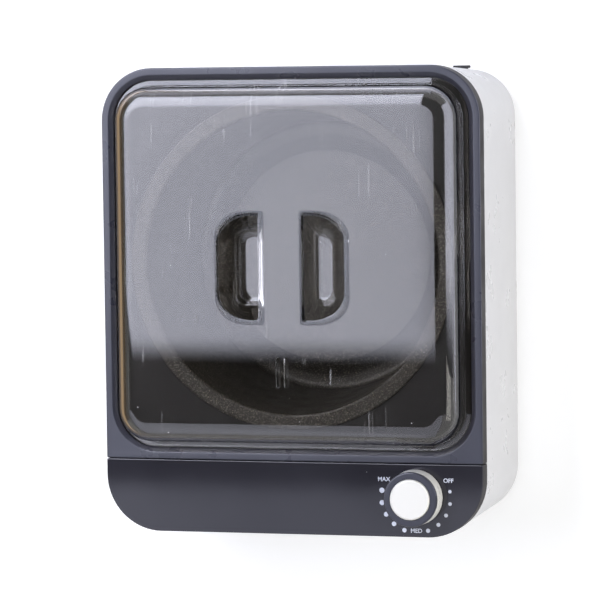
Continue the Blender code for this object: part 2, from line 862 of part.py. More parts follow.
def make_element(sheath, ceramic):
    """The sheathed ring element, with a bead and a pin in each end."""
    tube("heating_element", smooth_route(element_route(), element_step), element_tube_radius, sheath, 2)
    for name, side in (("left", -1), ("right", 1)):
        x, y, z = tail_end()
        profile = [(0, -element_pin_length), (element_pin_radius, -element_pin_length),
                   (element_pin_radius, -element_bead_length), (element_tube_radius, -element_bead_length),
                   (element_tube_radius, 0), (0, 0)]
        pin = turned(f"element_pin_{name}", profile, segments=tiny_round, material=ceramic)
        lying(pin, (side * x, y - seat_gap, z))


def make_clamp(steel):
    """The flat bar that holds the element up to the well, and the nut on the well's stud."""
    length = 2 * (element_ring_radius + element_tube_radius + clamp_overhang)
    bottom = clamp_top_z - clamp_thickness
    size = (length, clamp_width)
    bar = block("element_clamp", (0, pot_y), size, clamp_width / 4, bottom, clamp_top_z, steel)
    hole = stud_radius + seat_gap
    low = bottom - cut_overrun
    high = clamp_top_z + cut_overrun
    cut(bar, turned("clamp_hole", [(0, low), (hole, low), (hole, high), (0, high)], (0, pot_y)))
    top = bottom - seat_gap
    base = top - nut_height
    profile = [(0, base), (nut_radius, base), (nut_radius, top), (0, top)]
    nut = turned("clamp_nut", profile, (0, pot_y), nut_sides, steel)
    bore = [(0, base - cut_overrun), (hole, base - cut_overrun),
            (hole, top + cut_overrun), (0, top + cut_overrun)]
    cut(nut, turned("nut_bore", bore, (0, pot_y)))


def saddle(name, radius, y, material):
    """A bent strap that holds a round piece against the underside of the well."""
    inner = radius + seat_gap
    outer = inner + saddle_strap
    top = well_base_z - seat_gap
    middle = top - radius
    reach = outer + saddle_foot
    outline = [(-reach, top), (-reach, top - saddle_strap), (-outer, top - saddle_strap)]
    outline += arc_points((0, middle), outer, 180, 360, saddle_steps)
    outline += [(outer, top - saddle_strap), (reach, top - saddle_strap), (reach, top), (inner, top)]
    outline += arc_points((0, middle), inner, 360, 180, saddle_steps)
    outline += [(-inner, top)]
    half = saddle_width / 2
    thing = loft(name, [[(x, across, z) for across, z in outline] for x in (-half, half)], material)
    thing.location = (0, y, 0)
    return thing


def make_sensor(copper, steel):
    """The thermostat's bulb below the well, its saddle, and the thin tube to the thermostat."""
    y = bulb_y
    z = well_base_z - seat_gap - bulb_radius
    half = bulb_length / 2
    edge = bulb_radius / 3
    profile = [(0, -half), (bulb_radius - edge, -half), (bulb_radius, edge - half),
               (bulb_radius, half - edge), (bulb_radius - edge, half), (0, half)]
    lengthways(turned("sensor_bulb", profile, material=copper), (0, y, z))
    saddle("bulb_saddle", bulb_radius, y, steel)
    end = thermostat_top_z - thermostat_height
    x = knob_x - thermostat_width / 4
    high, low = [share * x for share in capillary_shares]
    end_y = knob_y + thermostat_length / 3
    route = [(half + seat_gap, y, z), (half + wire_drop, y, wire_z), (low, 2 * y - pot_y, wire_z),
             (high, seam_y + wire_lane, wire_z + wire_lane), (x, end_y, end - blade_length),
             (x, end_y, end - seat_gap)]
    tube("capillary_tube", smooth_route(route), capillary_radius, copper)


def make_fuse(ceramic, steel):
    """The thermal fuse below the well and its saddle."""
    z = well_base_z - seat_gap - fuse_radius
    half = fuse_length / 2
    lead = half + fuse_lead_length
    profile = [(0, -lead), (fuse_lead_radius, -lead), (fuse_lead_radius, -half), (fuse_radius, -half),
               (fuse_radius, half), (fuse_lead_radius, half), (fuse_lead_radius, lead), (0, lead)]
    lengthways(turned("thermal_fuse", profile, segments=tiny_round, material=ceramic), (0, fuse_y, z))
    saddle("fuse_saddle", fuse_radius, fuse_y, steel)


# Lid

def lid_loop(inset, z):
    """The outline of the lid, drawn in from the edge of its lip."""
    return [(x, y, z) for x, y, z in opening_loop(lid_side_gap + inset, z)]


def lid_section():
    """The lid's outer and inner profile as (inset, height), from the flat top to the lip and back inside."""
    lip_top = lip_bottom_z + lid_wall
    across = (lid_flat_inset - lid_lip_width) / math.sin(lid_shoulder_turn)
    down = (lid_top_z - lip_top) / (1 - math.cos(lid_shoulder_turn))
    shoulder = []
    hollow = []
    for index in range(lid_shoulder_steps + 1):
        turn = lid_shoulder_turn * index / lid_shoulder_steps
        slope = math.atan2(down * math.sin(turn), across * math.cos(turn))
        x = lid_flat_inset - across * math.sin(turn)
        z = lid_top_z - down * (1 - math.cos(turn))
        shoulder.append((x, z))
        hollow.append((x + lid_wall * math.sin(slope), z - lid_wall * math.cos(slope)))
    hollow.reverse()
    foot = hollow[0][0] - (hollow[0][1] - lip_bottom_z) / math.tan(slope)
    edge = lid_lip_edge
    lip = [(edge, lip_top), (0, lip_top - edge), (0, lip_bottom_z), (foot, lip_bottom_z)]
    return shoulder + lip + hollow


def pocket_outline(grow, depth_share):
    """The outline of the right-hand pocket about its own grip edge and middle.

    At the opening it is a D: its straight side is next to the grip, and the far side is a straight stretch
    between two long curves. Towards the floor the sides draw in and the curves tighten, and grow pushes the
    whole outline out.
    """
    near = pocket_floor_grip_draft * depth_share - grow
    far = pocket_width - pocket_floor_outer_draft * depth_share + grow
    half = pocket_length / 2 - pocket_floor_end_draft * depth_share + grow
    curve_width = pocket_curve_width + (pocket_floor_curve - pocket_curve_width) * depth_share
    curve_length = pocket_curve_length + (pocket_floor_curve - pocket_curve_length) * depth_share
    curve_x = min(curve_width, (far - near) * pocket_curve_share)
    curve_y = min(curve_length, half * pocket_curve_share)
    grip = min(pocket_grip_corner, (far - near) * pocket_grip_share)
    points = []
    corners = (
        ((far - curve_x, curve_y - half), curve_x, curve_y, -90),
        ((far - curve_x, half - curve_y), curve_x, curve_y, 0),
        ((near + grip, half - grip), grip, grip, 90),
        ((near + grip, grip - half), grip, grip, 180),
    )
    for (x, y), wide, tall, start in corners:
        for index in range(pocket_steps + 1):
            turn = math.radians(start + 90 * index / pocket_steps)
            points.append((x + wide * math.cos(turn), y + tall * math.sin(turn)))
    return points


def pocket_loop(side, z, grow, depth_share=0.0):
    """One pocket's outline at a height, on the right or mirrored to the left."""
    grip_x = pocket_spacing / 2
    middle_y = pot_y - pocket_shift
    loop = [(side * (grip_x + x), middle_y + y, z) for x, y in pocket_outline(grow, depth_share)]
    return loop if side > 0 else loop[::-1]


def pocket_levels(grow, rim):
    """The levels of a pocket from its floor up: (height, growth, share of the draft)."""
    floor_z = lid_top_z - pocket_depth - grow
    radius = pocket_floor_radius + grow
    levels = []
    for across, up in arc_points((0, 0), radius, -90, 0, arc_steps):
        levels.append((floor_z + radius + up, grow - radius + across, 1 - (radius + up) / pocket_depth))
    if rim:
        for index in range(rim_steps + 1):
            turn = math.radians(90 * index / rim_steps)
            drop = pocket_rim_drop * (1 - math.sin(turn))
            wide = pocket_rim_width * (1 - math.cos(turn))
            levels.append((lid_top_z - drop, wide, drop / pocket_depth))
        levels.append((lid_top_z + cut_overrun, pocket_rim_width, 0))
    return levels


def make_lid(clear):
    """The clear lid: raised top, sloping walls, lip, two finger pockets about a grip, and vent slots."""
    lid = loft("lid", [lid_loop(inset, z) for inset, z in lid_section()], clear)
    for side in (-1, 1):
        shell = pocket_levels(lid_wall, rim=False)
        shell.append((lid_top_z - lid_wall / 2, lid_wall + pocket_rim_width / 2, 0))
        add(lid, loft(f"pocket_shell_{side}", [pocket_loop(side, *level) for level in shell]))
    for side in (-1, 1):
        levels = pocket_levels(0, rim=True)
        cut(lid, loft(f"pocket_hollow_{side}", [pocket_loop(side, *level) for level in levels]))
    low = lid_top_z - lid_wall - cut_overrun
    high = lid_top_z + cut_overrun
    size = (lid_vent_width, lid_vent_length)
    for side in (-1, 1):
        centre = (side * lid_vent_pitch / 2, lid_flat_y + lid_vent_margin + lid_vent_length / 2)
        round_end = lid_vent_width * slot_round_share
        cut(lid, block(f"lid_vent_{side}", centre, size, round_end, low, high, steps=edge_steps))
    recentre(lid, (0, pot_y, 0))
    return lid


# Knob, shaft and thermostat

def shaft_outline(radius, flat):
    """A round shaft with one flat side."""
    limit = radius - flat
    return [(min(x, limit), y) for x, y, _ in circle(radius, 0, middle_round // 2)]


def shaft_loop(radius, z):
    return [(x, y, z) for x, y in shaft_outline(radius, shaft_flat)]


def knob_place():
    """The point on the knob's axis that is level with the panel's face."""
    return (knob_x, knob_y, face_height)


def on_axis(thing):
    """Stand a piece on the knob's axis, its heights counted from the panel's face."""
    thing.location = knob_place()
    return thing


def make_knob_body(white, bottom, top):
    """The hollow cylinder with a hub and a flatted bore for the shaft."""
    top_radius = knob_radius - knob_draft
    hollow_top = top - knob_skirt_wall
    hollow = knob_radius - knob_skirt_wall
    profile = [(0, top), (top_radius, top), (knob_radius, bottom), (hollow, bottom), (hollow, hollow_top),
               (knob_hub_radius, hollow_top), (knob_hub_radius, bottom + seat_gap), (0, bottom + seat_gap)]
    body = on_axis(turned("knob_body", profile, segments=middle_round, material=white))
    clear = shaft_radius + seat_gap
    ends = (bottom - cut_overrun, bottom + shaft_reach + seat_gap)
    cut(body, on_axis(loft("knob_bore", [shaft_loop(clear, z) for z in ends])))
    return body


def make_knob(white, slate, steel):
    """The knob: a hollow cylinder on a flatted shaft, a slate ring on its rim and a domed white cap."""
    bottom = knob_clearance
    top = bottom + knob_body_height
    body = make_knob_body(white, bottom, top)
    ring_z = top + seat_gap
    ring_top = ring_z + knob_ring_height
    outer = knob_radius - knob_draft
    cap_hole = knob_cap_radius + seat_gap
    edge_centre = (outer - knob_ring_edge, ring_top - knob_ring_edge)
    edge = arc_points(edge_centre, knob_ring_edge, 0, 90, edge_steps)
    ring_profile = [(cap_hole, ring_z), (outer, ring_z), *edge, (cap_hole, ring_top)]
    ring = on_axis(turned("knob_ring", ring_profile, segments=middle_round, material=slate, ring=True))
    cap_top = ring_top + knob_cap_proud
    dome_centre = (knob_cap_radius - knob_cap_edge, cap_top - knob_cap_edge)
    dome = arc_points(dome_centre, knob_cap_edge, 0, 90, edge_steps)
    cap_profile = [(0, ring_z), (knob_cap_radius, ring_z), *dome, (0, cap_top)]
    cap = on_axis(turned("knob_cap", cap_profile, segments=middle_round, material=white))
    foot = thermostat_top_z - shaft_seat_depth + seat_gap - face_height
    ends = (foot, bottom + shaft_reach)
    shaft = on_axis(loft("thermostat_shaft", [shaft_loop(shaft_radius, z) for z in ends], steel))
    return [body, ring, cap, shaft]


def thermostat_screw_places():
    return [knob_x - thermostat_screw_offset, knob_x + thermostat_screw_offset]


def make_thermostat(plastic, steel):
    """The thermostat behind the panel, with its neck, two blades and two screws from the front."""
    size = (thermostat_width, thermostat_length)
    bottom = thermostat_top_z - thermostat_height
    centre = (knob_x, knob_y)
    body = block("thermostat_body", centre, size, thermostat_corner, bottom, thermostat_top_z, plastic)
    neck_top = thermostat_top_z + thermostat_neck_height
    low = thermostat_top_z - thermostat_corner
    neck = [(0, low), (thermostat_neck_radius, low), (thermostat_neck_radius, neck_top), (0, neck_top)]
    add(body, turned("thermostat_neck", neck, centre, middle_round // 2))
    radius = shaft_radius + seat_gap
    seat = thermostat_top_z - shaft_seat_depth
    bore = [(0, seat), (radius, seat), (radius, neck_top + cut_overrun), (0, neck_top + cut_overrun)]
    cut(body, turned("thermostat_bore", bore, centre, middle_round // 2))
    blade_size = (blade_thickness, blade_width)
    for side in (-1, 1):
        blade_centre = (knob_x + side * blade_offset, knob_y)
        add(body, block(f"blade_{side}", blade_centre, blade_size, blade_thickness / 4,
                        bottom - blade_length, bottom + blade_length / 2, steps=tab_steps))
    for index, x in enumerate(thermostat_screw_places()):
        hole = thermostat_screw_radius + seat_gap
        tip = face_height - thermostat_screw_length
        bore = [(0, tip - seat_gap), (hole, tip - seat_gap), (hole, thermostat_top_z + cut_overrun),
                (0, thermostat_top_z + cut_overrun)]
        cut(body, turned(f"thermostat_thread_{index}", bore, (x, knob_y)))
        cone = face_height - (thermostat_screw_head_radius - thermostat_screw_radius)
        profile = [(0, tip), (thermostat_screw_radius, tip), (thermostat_screw_radius, cone - seat_gap),
                   (thermostat_screw_head_radius, face_height - seat_gap), (0, face_height - seat_gap)]
        turned(f"thermostat_screw_{index + 1}", profile, (x, knob_y), material=steel)


# Terminal block, gland and wires

def block_centre():
    return (block_x, rear_y - block_from_rear)


def make_terminal_block(plastic, brass):
    """The terminal block on the bottom plate, with its clamping screws sunk in its top."""
    x, y = block_centre()
    bottom = plate_top_z + seat_gap
    top = bottom + block_height
    body = block("terminal_block", (x, y), (block_width, block_length), block_corner, bottom, top, plastic)
    for name, side in (("left", -1), ("right", 1)):
        place = (x + side * block_screw_pitch / 2, y)
        hole = block_screw_radius + seat_gap
        seat = top - block_height / 3
        bore = [(0, seat), (hole, seat), (hole, top + cut_overrun), (0, top + cut_overrun)]
        cut(body, turned(f"block_bore_{name}", bore, place, tiny_round))
        low = seat + seat_gap
        high = top - block_screw_sink
        profile = [(0, low), (block_screw_radius, low), (block_screw_radius, high), (0, high)]
        turned(f"terminal_screw_{name}", profile, place, tiny_round, brass)


def wall_inset(z):
    """How far the drafted outer wall lies inside the outline at a height."""
    low = base_z + base_edge_radius
    share = (rim_z - z) / (rim_z - low)
    return housing_rim_step + (housing_draft - housing_rim_step) * share


def gland_z():
    return base_z + gland_from_base


def gland_hole():
    """The hole in the rear wall that the gland's neck goes through."""
    radius = gland_neck_radius + seat_gap
    reach = housing_wall + housing_draft + cut_overrun
    profile = [(0, -reach), (radius, -reach), (radius, cut_overrun), (0, cut_overrun)]
    return lying(turned("gland_hole", profile), (gland_x, rear_y, gland_z()))


def make_gland(rubber, plastic):
    """The cord gland in the rear wall: a flange outside, a neck with a flat bore, and a nut inside."""
    wall_y = rear_y - wall_inset(gland_z() + gland_radius)
    inner_y = rear_y - wall_inset(gland_z() - gland_nut_radius) - housing_wall
    bearing = wall_y + seat_gap
    outer = bearing + gland_proud
    length = outer - inner_y + gland_reach
    flange = bearing - outer
    profile = [(0, -length), (gland_neck_radius, -length), (gland_neck_radius, flange),
               (gland_radius, flange), (gland_radius, -gland_edge), (gland_radius - gland_edge, 0), (0, 0)]
    place = (gland_x, outer, gland_z())
    gland = lying(turned("cord_gland", profile, segments=middle_round // 2, material=rubber), place)
    size = (gland_bore_width, gland_bore_height)
    round_end = gland_bore_height * bore_round_share / 2
    bore = block("gland_bore", (0, 0), size, round_end, -length - cut_overrun, cut_overrun, steps=edge_steps)
    cut(gland, lying(bore, place))
    hole = gland_neck_radius + seat_gap
    nut_profile = [(hole, -gland_nut_height), (gland_nut_radius, -gland_nut_height),
                   (gland_nut_radius, 0), (hole, 0)]
    nut = turned("gland_nut", nut_profile, segments=small_round, material=plastic, ring=True)
    lying(nut, (gland_x, inner_y - gland_nut_margin, gland_z()))


def block_entry(side):
    """Where a wire meets the terminal block, and the point that leads up to it."""
    x = block_x + side * block_screw_pitch / 2
    y = block_centre()[1] - block_length / 2 - seat_gap
    z = plate_top_z + seat_gap + block_height / 2
    return [(x, y - wire_lane, z), (x, y, z)]


def blade_exit(side):
    """Where a wire leaves a blade of the thermostat, and the point that leads down from it."""
    x = knob_x + side * blade_offset
    z = thermostat_top_z - thermostat_height - blade_length - seat_gap
    return [(x, knob_y, z), (x, knob_y, z - wire_drop)]


def pin_exit(side):
    """Where a wire leaves a pin of the element, and the point straight in front of it."""
    x, y, z = tail_end()
    y -= element_pin_length + 2 * seat_gap
    return [(side * x, y, z), (side * x, y - wire_lane, z)]


def fuse_exit(side):
    """Where a wire leaves a lead of the fuse, and the point straight beside it."""
    x = fuse_length / 2 + fuse_lead_length + seat_gap
    z = well_base_z - seat_gap - fuse_radius
    return [(side * x, fuse_y, z), (side * (x + wire_lane), fuse_y, z)]


def live_route():
    """From the terminal block along the right wall to the thermostat."""
    x = well_side()[0]
    run = [(x, knob_y + wire_lane, wire_drop), (x, seam_y + wire_lane, wire_z + seat_gap), (x, 0, wire_z),
           (x, block_centre()[1] - 2 * wire_drop, wire_z)]
    return blade_exit(1) + run + block_entry(1)


def neutral_route():
    """From the terminal block to the right pin of the element."""
    pin_x, pin_y, pin_z = pin_exit(1)[1]
    x = well_side()[0] - wire_lane
    low = wire_z + wire_lane / 4
    run = [(pin_x + wire_lane, pin_y - wire_lane, pin_z + wire_lane / 2),
           (element_ring_radius, pin_y, pin_z + wire_lane / 2), (x, pin_y + 2 * wire_lane, low),
           (x, 0, wire_z),
           (outer_lane_share * x, block_centre()[1] - 2 * wire_drop, wire_z)]
    return pin_exit(1) + run + block_entry(-1)


def switched_route():
    """From the thermostat across the base to the fuse."""
    x = inner_lane_share * element_ring_radius
    outer = outer_lane_share * element_ring_radius
    run = [(element_ring_radius, knob_y + wire_lane, wire_drop), (outer, seam_y + wire_drop, wire_z),
           (x, 0, wire_z), (x, fuse_y - wire_lane, wire_z)]
    return blade_exit(-1) + run + fuse_exit(1)[::-1]


def joined_route():
    """From the fuse to the left pin of the element."""
    pin_x, pin_y, pin_z = pin_exit(-1)[1]
    x = -inner_lane_share * element_ring_radius
    run = [(x, fuse_y - wire_lane, wire_z), (x, 0, wire_z), (x, pin_y, wire_z),
           (pin_x - wire_lane, pin_y - wire_lane, wire_z + wire_lane / 2)]
    return fuse_exit(-1) + run + pin_exit(-1)[::-1]


def make_wires(red, blue):
    """The inner wires, each end square to what it meets."""
    wires = (("live_wire", live_route(), red), ("neutral_wire", neutral_route(), blue),
             ("switched_wire", switched_route(), red), ("fuse_wire", joined_route(), red))
    for name, route, colour in wires:
        tube(name, smooth_route(route), wire_radius, colour)


def hang_bodies(pot, lid, knob):
    """Hang each moving body from an empty on its axis, the lid's from the pot's, and the rest from one."""
    centre = (0, pot_y, 0)
    pot_lift = pivot("pot_lift", centre)
    lid_lift = pivot("lid_lift", (0, 0, 0), pot_lift)
    hang([pot], pot_lift, centre)
    hang([lid], lid_lift, centre)
    hang(knob, pivot("knob_turn", knob_place()), knob_place())
    moving = [pot, lid, *knob]
    still = [thing for thing in bpy.data.objects
             if thing.type != "EMPTY" and not thing.hide_render and thing not in moving]
    hang(still, pivot("base", (0, 0, 0)), (0, 0, 0))


def build():
    clear_scene()
    white = finish("white_plastic", (0.86, 0.86, 0.85), 0.35)
    slate = finish("slate_plastic", (0.13, 0.135, 0.16), 0.45)
    gloss = finish("gloss_plastic", (0.035, 0.035, 0.045), 0.08)
    dark = finish("deck_plastic", (0.035, 0.035, 0.038), 0.5)
    clear = finish("smoky_clear", (0.25, 0.23, 0.21), 0.03, transmission=0.9)
    coated = finish("coated_pot", (0.06, 0.055, 0.05), 0.4, metallic=0.3)
    aluminium = finish("aluminium", (0.75, 0.75, 0.76), 0.35, metallic=1.0)
    steel = finish("steel", (0.6, 0.6, 0.6), 0.3, metallic=1.0)
    copper = finish("copper", (0.75, 0.42, 0.28), 0.35, metallic=1.0)
    brass = finish("brass", (0.75, 0.6, 0.3), 0.35, metallic=1.0)
    rubber = finish("rubber", (0.03, 0.03, 0.03), 0.8)
    silicone = finish("silicone", (0.55, 0.15, 0.1), 0.6)
    felt = finish("felt", (0.8, 0.78, 0.7), 0.95)
    ceramic = finish("ceramic", (0.85, 0.82, 0.75), 0.5)
    phenolic = finish("phenolic", (0.05, 0.045, 0.04), 0.5)
    red = finish("red_wire", (0.4, 0.05, 0.04), 0.5)
    blue = finish("blue_wire", (0.05, 0.12, 0.4), 0.5)
    make_housing(white)
    make_bottom_plate(white)
    make_feet(rubber)
    make_long_screws(steel)
    make_frame(slate)
    make_panel(gloss)
    make_deck(dark)
    pot = make_pot(coated)
    make_well(aluminium)
    make_seal(silicone)
    make_well_screws(steel)
    make_insulation(felt)
    make_element(steel, ceramic)
    make_clamp(steel)
    make_sensor(copper, steel)
    make_fuse(ceramic, steel)
    lid = make_lid(clear)
    knob = make_knob(white, slate, steel)
    make_thermostat(phenolic, steel)
    make_terminal_block(ceramic, brass)
    make_gland(rubber, phenolic)
    make_wires(red, blue)
    hang_bodies(pot, lid, knob)


build()
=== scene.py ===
"""The looks of the wax heater: fine pieces, materials, printed scale, light, floor and camera."""

import math

import bmesh
import bpy
from mathutils import Matrix, Vector


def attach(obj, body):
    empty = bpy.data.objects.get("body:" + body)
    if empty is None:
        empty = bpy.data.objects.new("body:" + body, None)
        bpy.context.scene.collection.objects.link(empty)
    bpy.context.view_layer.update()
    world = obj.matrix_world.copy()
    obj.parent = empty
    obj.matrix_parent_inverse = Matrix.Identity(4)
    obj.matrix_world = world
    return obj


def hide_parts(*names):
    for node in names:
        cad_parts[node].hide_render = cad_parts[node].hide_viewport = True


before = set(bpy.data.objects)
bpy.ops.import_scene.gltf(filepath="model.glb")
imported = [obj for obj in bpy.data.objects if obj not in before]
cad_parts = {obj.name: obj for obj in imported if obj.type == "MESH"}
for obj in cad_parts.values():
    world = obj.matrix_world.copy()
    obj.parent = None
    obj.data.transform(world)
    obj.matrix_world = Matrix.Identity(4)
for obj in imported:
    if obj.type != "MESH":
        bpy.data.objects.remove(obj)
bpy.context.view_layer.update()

# Body
body_width = 0.2200
body_length = 0.2620
face_height = 0.1060
rear_corner_radius = 0.0295
front_corner_radius = 0.0320
seat_gap = 0.0003
cut_overrun = 0.0010
housing_wall = 0.0025
housing_draft = 0.0032
housing_rim_step = 0.0003
base_edge_radius = 0.0060
base_ledge_inset = 0.0160
base_ledge_width = 0.0100
base_ledge_thickness = 0.0025
plate_thickness = 0.0030
foot_height = 0.0030
foot_radius = 0.0075
foot_socket_depth = 0.0012
foot_inset = 0.0350
screw_inset = 0.0200
screw_end_distance = 0.0340
screw_front_distance = 0.0360
screw_shank_radius = 0.0014
screw_head_radius = 0.0029
screw_head_height = 0.0014
screw_length = 0.0180
screw_clearance = 0.0004

# Frame, panel and deck
bezel_depth = 0.0094
bezel_edge_radius = 0.0008
bezel_face_width = 0.0042
bezel_slope_width = 0.0023
bezel_slope_drop = 0.0016
bezel_inner_edge = 0.0006
skirt_wall = 0.0020
sharp_corner_radius = 0.0008
snap_tab_width = 0.0120
snap_tab_thickness = 0.0014
snap_tab_length = 0.0070
panel_length = 0.0411
panel_skin = 0.0025
panel_edge_radius = 0.0006
deck_thickness = 0.0025
post_radius = 0.0042

# Pot
pot_shift = 0.00075
pot_side_margin = 0.0096
pot_flange_width = 0.00915
pot_flange_drop = 0.0024
pot_side_draft = 0.00665
pot_trough_width = 0.0083
pot_trough_slope = 0.0085
under_pot_space = 0.0174
pot_plateau_height = 0.0056
pot_wall = 0.0014
pot_lip_radius = 0.0020
pot_heel_radius = 0.0040
pot_dimple_radius = 0.0032
pot_dimple_depth = 0.0005
deck_hole_clearance = 0.0021

# Lid
lid_rise = 0.0170
lid_wall = 0.0022
lid_side_gap = 0.0005
lid_lip_width = 0.0030
lid_flat_inset = 0.0153
lid_wall_lean = math.radians(5)
opening_corner_radius = 0.0230
lid_lip_edge = 0.0004
lid_lip_fall = 0.0006
pocket_length = 0.0584
pocket_width = 0.0231
pocket_depth = 0.0150
pocket_spacing = 0.0267
pocket_shift = 0.0018
pocket_grip_corner = 0.0018
pocket_curve_length = 0.0154
pocket_curve_width = 0.0195
pocket_rim_width = 0.0024
pocket_rim_drop = 0.0003
pocket_floor_grip_draft = 0.0018
pocket_floor_outer_draft = 0.0092
pocket_floor_end_draft = 0.0100
pocket_floor_curve = 0.0055
pocket_floor_radius = 0.0025
lid_vent_length = 0.0168
lid_vent_width = 0.0023
lid_vent_pitch = 0.0045
lid_vent_margin = 0.0205
lid_vent_edge = 0.0002

# Knob, shaft and gland
knob_from_side = 0.0385
knob_from_front = 0.0225
knob_radius = 0.01555
knob_clearance = 0.0008
knob_body_height = 0.0100
knob_draft = 0.0003
knob_skirt_wall = 0.0020
knob_hub_radius = 0.0055
knob_edge = 0.0004
knob_ring_height = 0.0022
knob_ring_edge = 0.0009
knob_cap_radius = 0.0113
knob_cap_proud = 0.0016
knob_cap_edge = 0.0012
gland_from_side = 0.0310
gland_from_base = 0.0190
gland_proud = 0.0015
gland_radius = 0.0050
gland_neck_radius = 0.0038
gland_nut_radius = 0.0060
gland_reach = 0.0085
gland_bore_width = 0.0056
gland_bore_height = 0.0036
gland_edge = 0.0004
thermostat_neck_radius = 0.0047

# Printed scale: where the words and dots stand about the knob
dot_ring_radius = 0.0198
dot_turns = (10, -10, -30, -50, -70, -110, -130, -150, -170, -190)
dot_small_radius = 0.00095
dot_growth = 0.00006
print_height = 0.00006
letter_height = 0.0033
letter_weight = 0.00007
words = (("OFF", 0.0902, -0.0991), ("MED", 0.0716, -0.1274), ("MAX", 0.0532, -0.0989))

# Light, in the world's axes
world_light = 0.42
floor_glow = 0.42
softbox_left = -1.90
softbox_right = -0.235
softbox_front = -0.153
softbox_rear = 3.00
softbox_height = 1.50
softbox_edges = (0.06, 0.030)
softbox_ramp = (-0.85, -0.235)
softbox_levels = (5.75, 3.95)
softbox_growth = ((0.12, 0.55), (1.0, 1.7))
softbox_colour = (0.91, 0.94, 1.12)
lamp_left = -1.02
lamp_levels = (5.7, 4.7)
front_corners = ((-1.60, -4.00), (0.80, -0.262))
front_ramp = (-0.62, -0.45)
front_levels = (1.75, 1.25)
front_edges = (0.10, 0.02)
wall_edges = (0.10, 0.20)
wall_levels = (4.8, 4.8)
wall_right_corners = ((-0.12, -0.20), (0.90, 0.95))
wall_right_x = 1.00
rear_levels = (2.2, 2.2)
wall_rear_corners = ((-1.20, -0.20), (0.30, 0.50))
wall_rear_y = 1.30
floor_right_corners = ((0.50, -0.12), (1.00, 0.90))
floor_rear_corners = ((-1.20, 0.19), (0.30, 1.30))
floor_left_corners = ((-1.90, -0.80), (-0.14, 1.40))
floor_light_height = 0.004
floor_edges = (0.02, 0.02)
warm_levels = (0.50, 0.50)
warm_colour = (1.00, 0.73, 0.46)
wall_left_corners = ((-0.90, -0.30), (1.40, 0.95))
wall_left_x = -1.90
card_corners = ((-1.30, -0.262), (0.30, -0.150))
card_right_corners = ((-0.245, -0.262), (2.20, 1.60))
card_lap = 0.02
floor_corners = ((-6.0, -6.0), (6.0, 6.0))
floor_z = -0.0002
floor_grey = 0.82
card_grey = 0.02
fill_place = (1.5, -0.25, 0.75)
fill_size = (1.0, 0.8)
fill_power = 15.0

# Camera
camera_turn = math.radians(16.673)
camera_tilt = math.radians(3.689)
camera_roll = math.radians(-0.740)
camera_aim = (0.00581, 0.00077, face_height)
camera_distance = 2.0915
camera_sensor = 36.0
camera_lens = 224.78
camera_clip = (0.05, 30.0)

# Facets
corner_steps = 18
pocket_steps = 14
rim_steps = 7
edge_steps = 6
shoulder_steps = 22
sharp_steps = 3
large_round = 192
middle_round = 96
small_round = 32
smooth_angle = math.radians(32)

# Shares
slot_round_share = 0.49
bore_round_share = 0.98
foot_waist_share = 0.93
pocket_curve_share = 0.86
pocket_grip_share = 0.13
shank_tip_share = 0.35
tab_side_shares = (-0.55, 0.0, 0.55)
tab_rear_shares = (-0.45, 0.45)
side_face_share = 0.3

# Places that several pieces share
rear_y = body_length / 2
front_y = rear_y - body_length
seam_y = front_y + panel_length
frame_length = rear_y - seam_y
half_width = body_width / 2
base_z = foot_height
rim_z = face_height - bezel_depth - seat_gap
bezel_width = bezel_face_width + bezel_slope_width
pot_y = rear_y - frame_length / 2 + pot_shift
pot_flange_radius = min(half_width, frame_length / 2) - bezel_width - pot_side_margin
pot_mouth_radius = pot_flange_radius - pot_flange_width
pot_floor_radius = pot_mouth_radius - pot_side_draft
pot_trough_inner_radius = pot_floor_radius - pot_trough_width
pot_plateau_radius = pot_trough_inner_radius - pot_trough_slope
tab_inset = housing_rim_step + housing_wall + seat_gap
deck_inset = tab_inset + snap_tab_thickness + seat_gap
flange_z = face_height - pot_flange_drop
deck_z = flange_z - pot_wall - seat_gap
lip_bottom_z = deck_z + seat_gap
lid_top_z = face_height + lid_rise
plate_top_z = base_z + plate_thickness
ledge_bottom_z = plate_top_z + seat_gap
ledge_top_z = ledge_bottom_z + base_ledge_thickness
pot_floor_z = plate_top_z + under_pot_space
pot_base_z = pot_floor_z - pot_wall
deck_hole_radius = pot_mouth_radius + pot_wall + deck_hole_clearance
knob_x = half_width - knob_from_side
knob_y = front_y + knob_from_front
gland_x = half_width - gland_from_side
lid_flat_y = seam_y + bezel_width + lid_side_gap + lid_flat_inset


# Mesh helpers

def smoothed(mesh):
    mesh.shade_smooth()
    mesh.set_sharp_from_angle(angle=smooth_angle)


def make_object(name, mesh, material=None):
    """Link a mesh to the scene as one smooth-shaded object."""
    thing = bpy.data.objects.new(name, mesh)
    bpy.context.scene.collection.objects.link(thing)
    if material:
        mesh.materials.append(material)
    smoothed(mesh)
    return thing


def finished(name, work, material):
    """Turn the faces outward and make an object of them."""
    bmesh.ops.recalc_face_normals(work, faces=work.faces)
    mesh = bpy.data.meshes.new(name)
    work.to_mesh(mesh)
    work.free()
    return make_object(name, mesh, material)


def loft(name, loops, material=None, ring=False):
    """A solid through a list of closed loops, capped at both ends or joined end to end as a ring."""
    work = bmesh.new()
    rows = [[work.verts.new(point) for point in loop] for loop in loops]
    pairs = list(zip(rows, rows[1:]))
    if ring:
        pairs.append((rows[-1], rows[0]))
    else:
        work.faces.new(rows[0])
        work.faces.new(rows[-1])
    for low, high in pairs:
        for here in range(len(low)):
            there = (here + 1) % len(low)
            work.faces.new((low[here], low[there], high[there], high[here]))
    return finished(name, work, material)


def circle(radius, z, centre=(0, 0), segments=small_round):
    turns = (2 * math.pi * index / segments for index in range(segments))
    return [(centre[0] + radius * math.cos(turn), centre[1] + radius * math.sin(turn), z) for turn in turns]


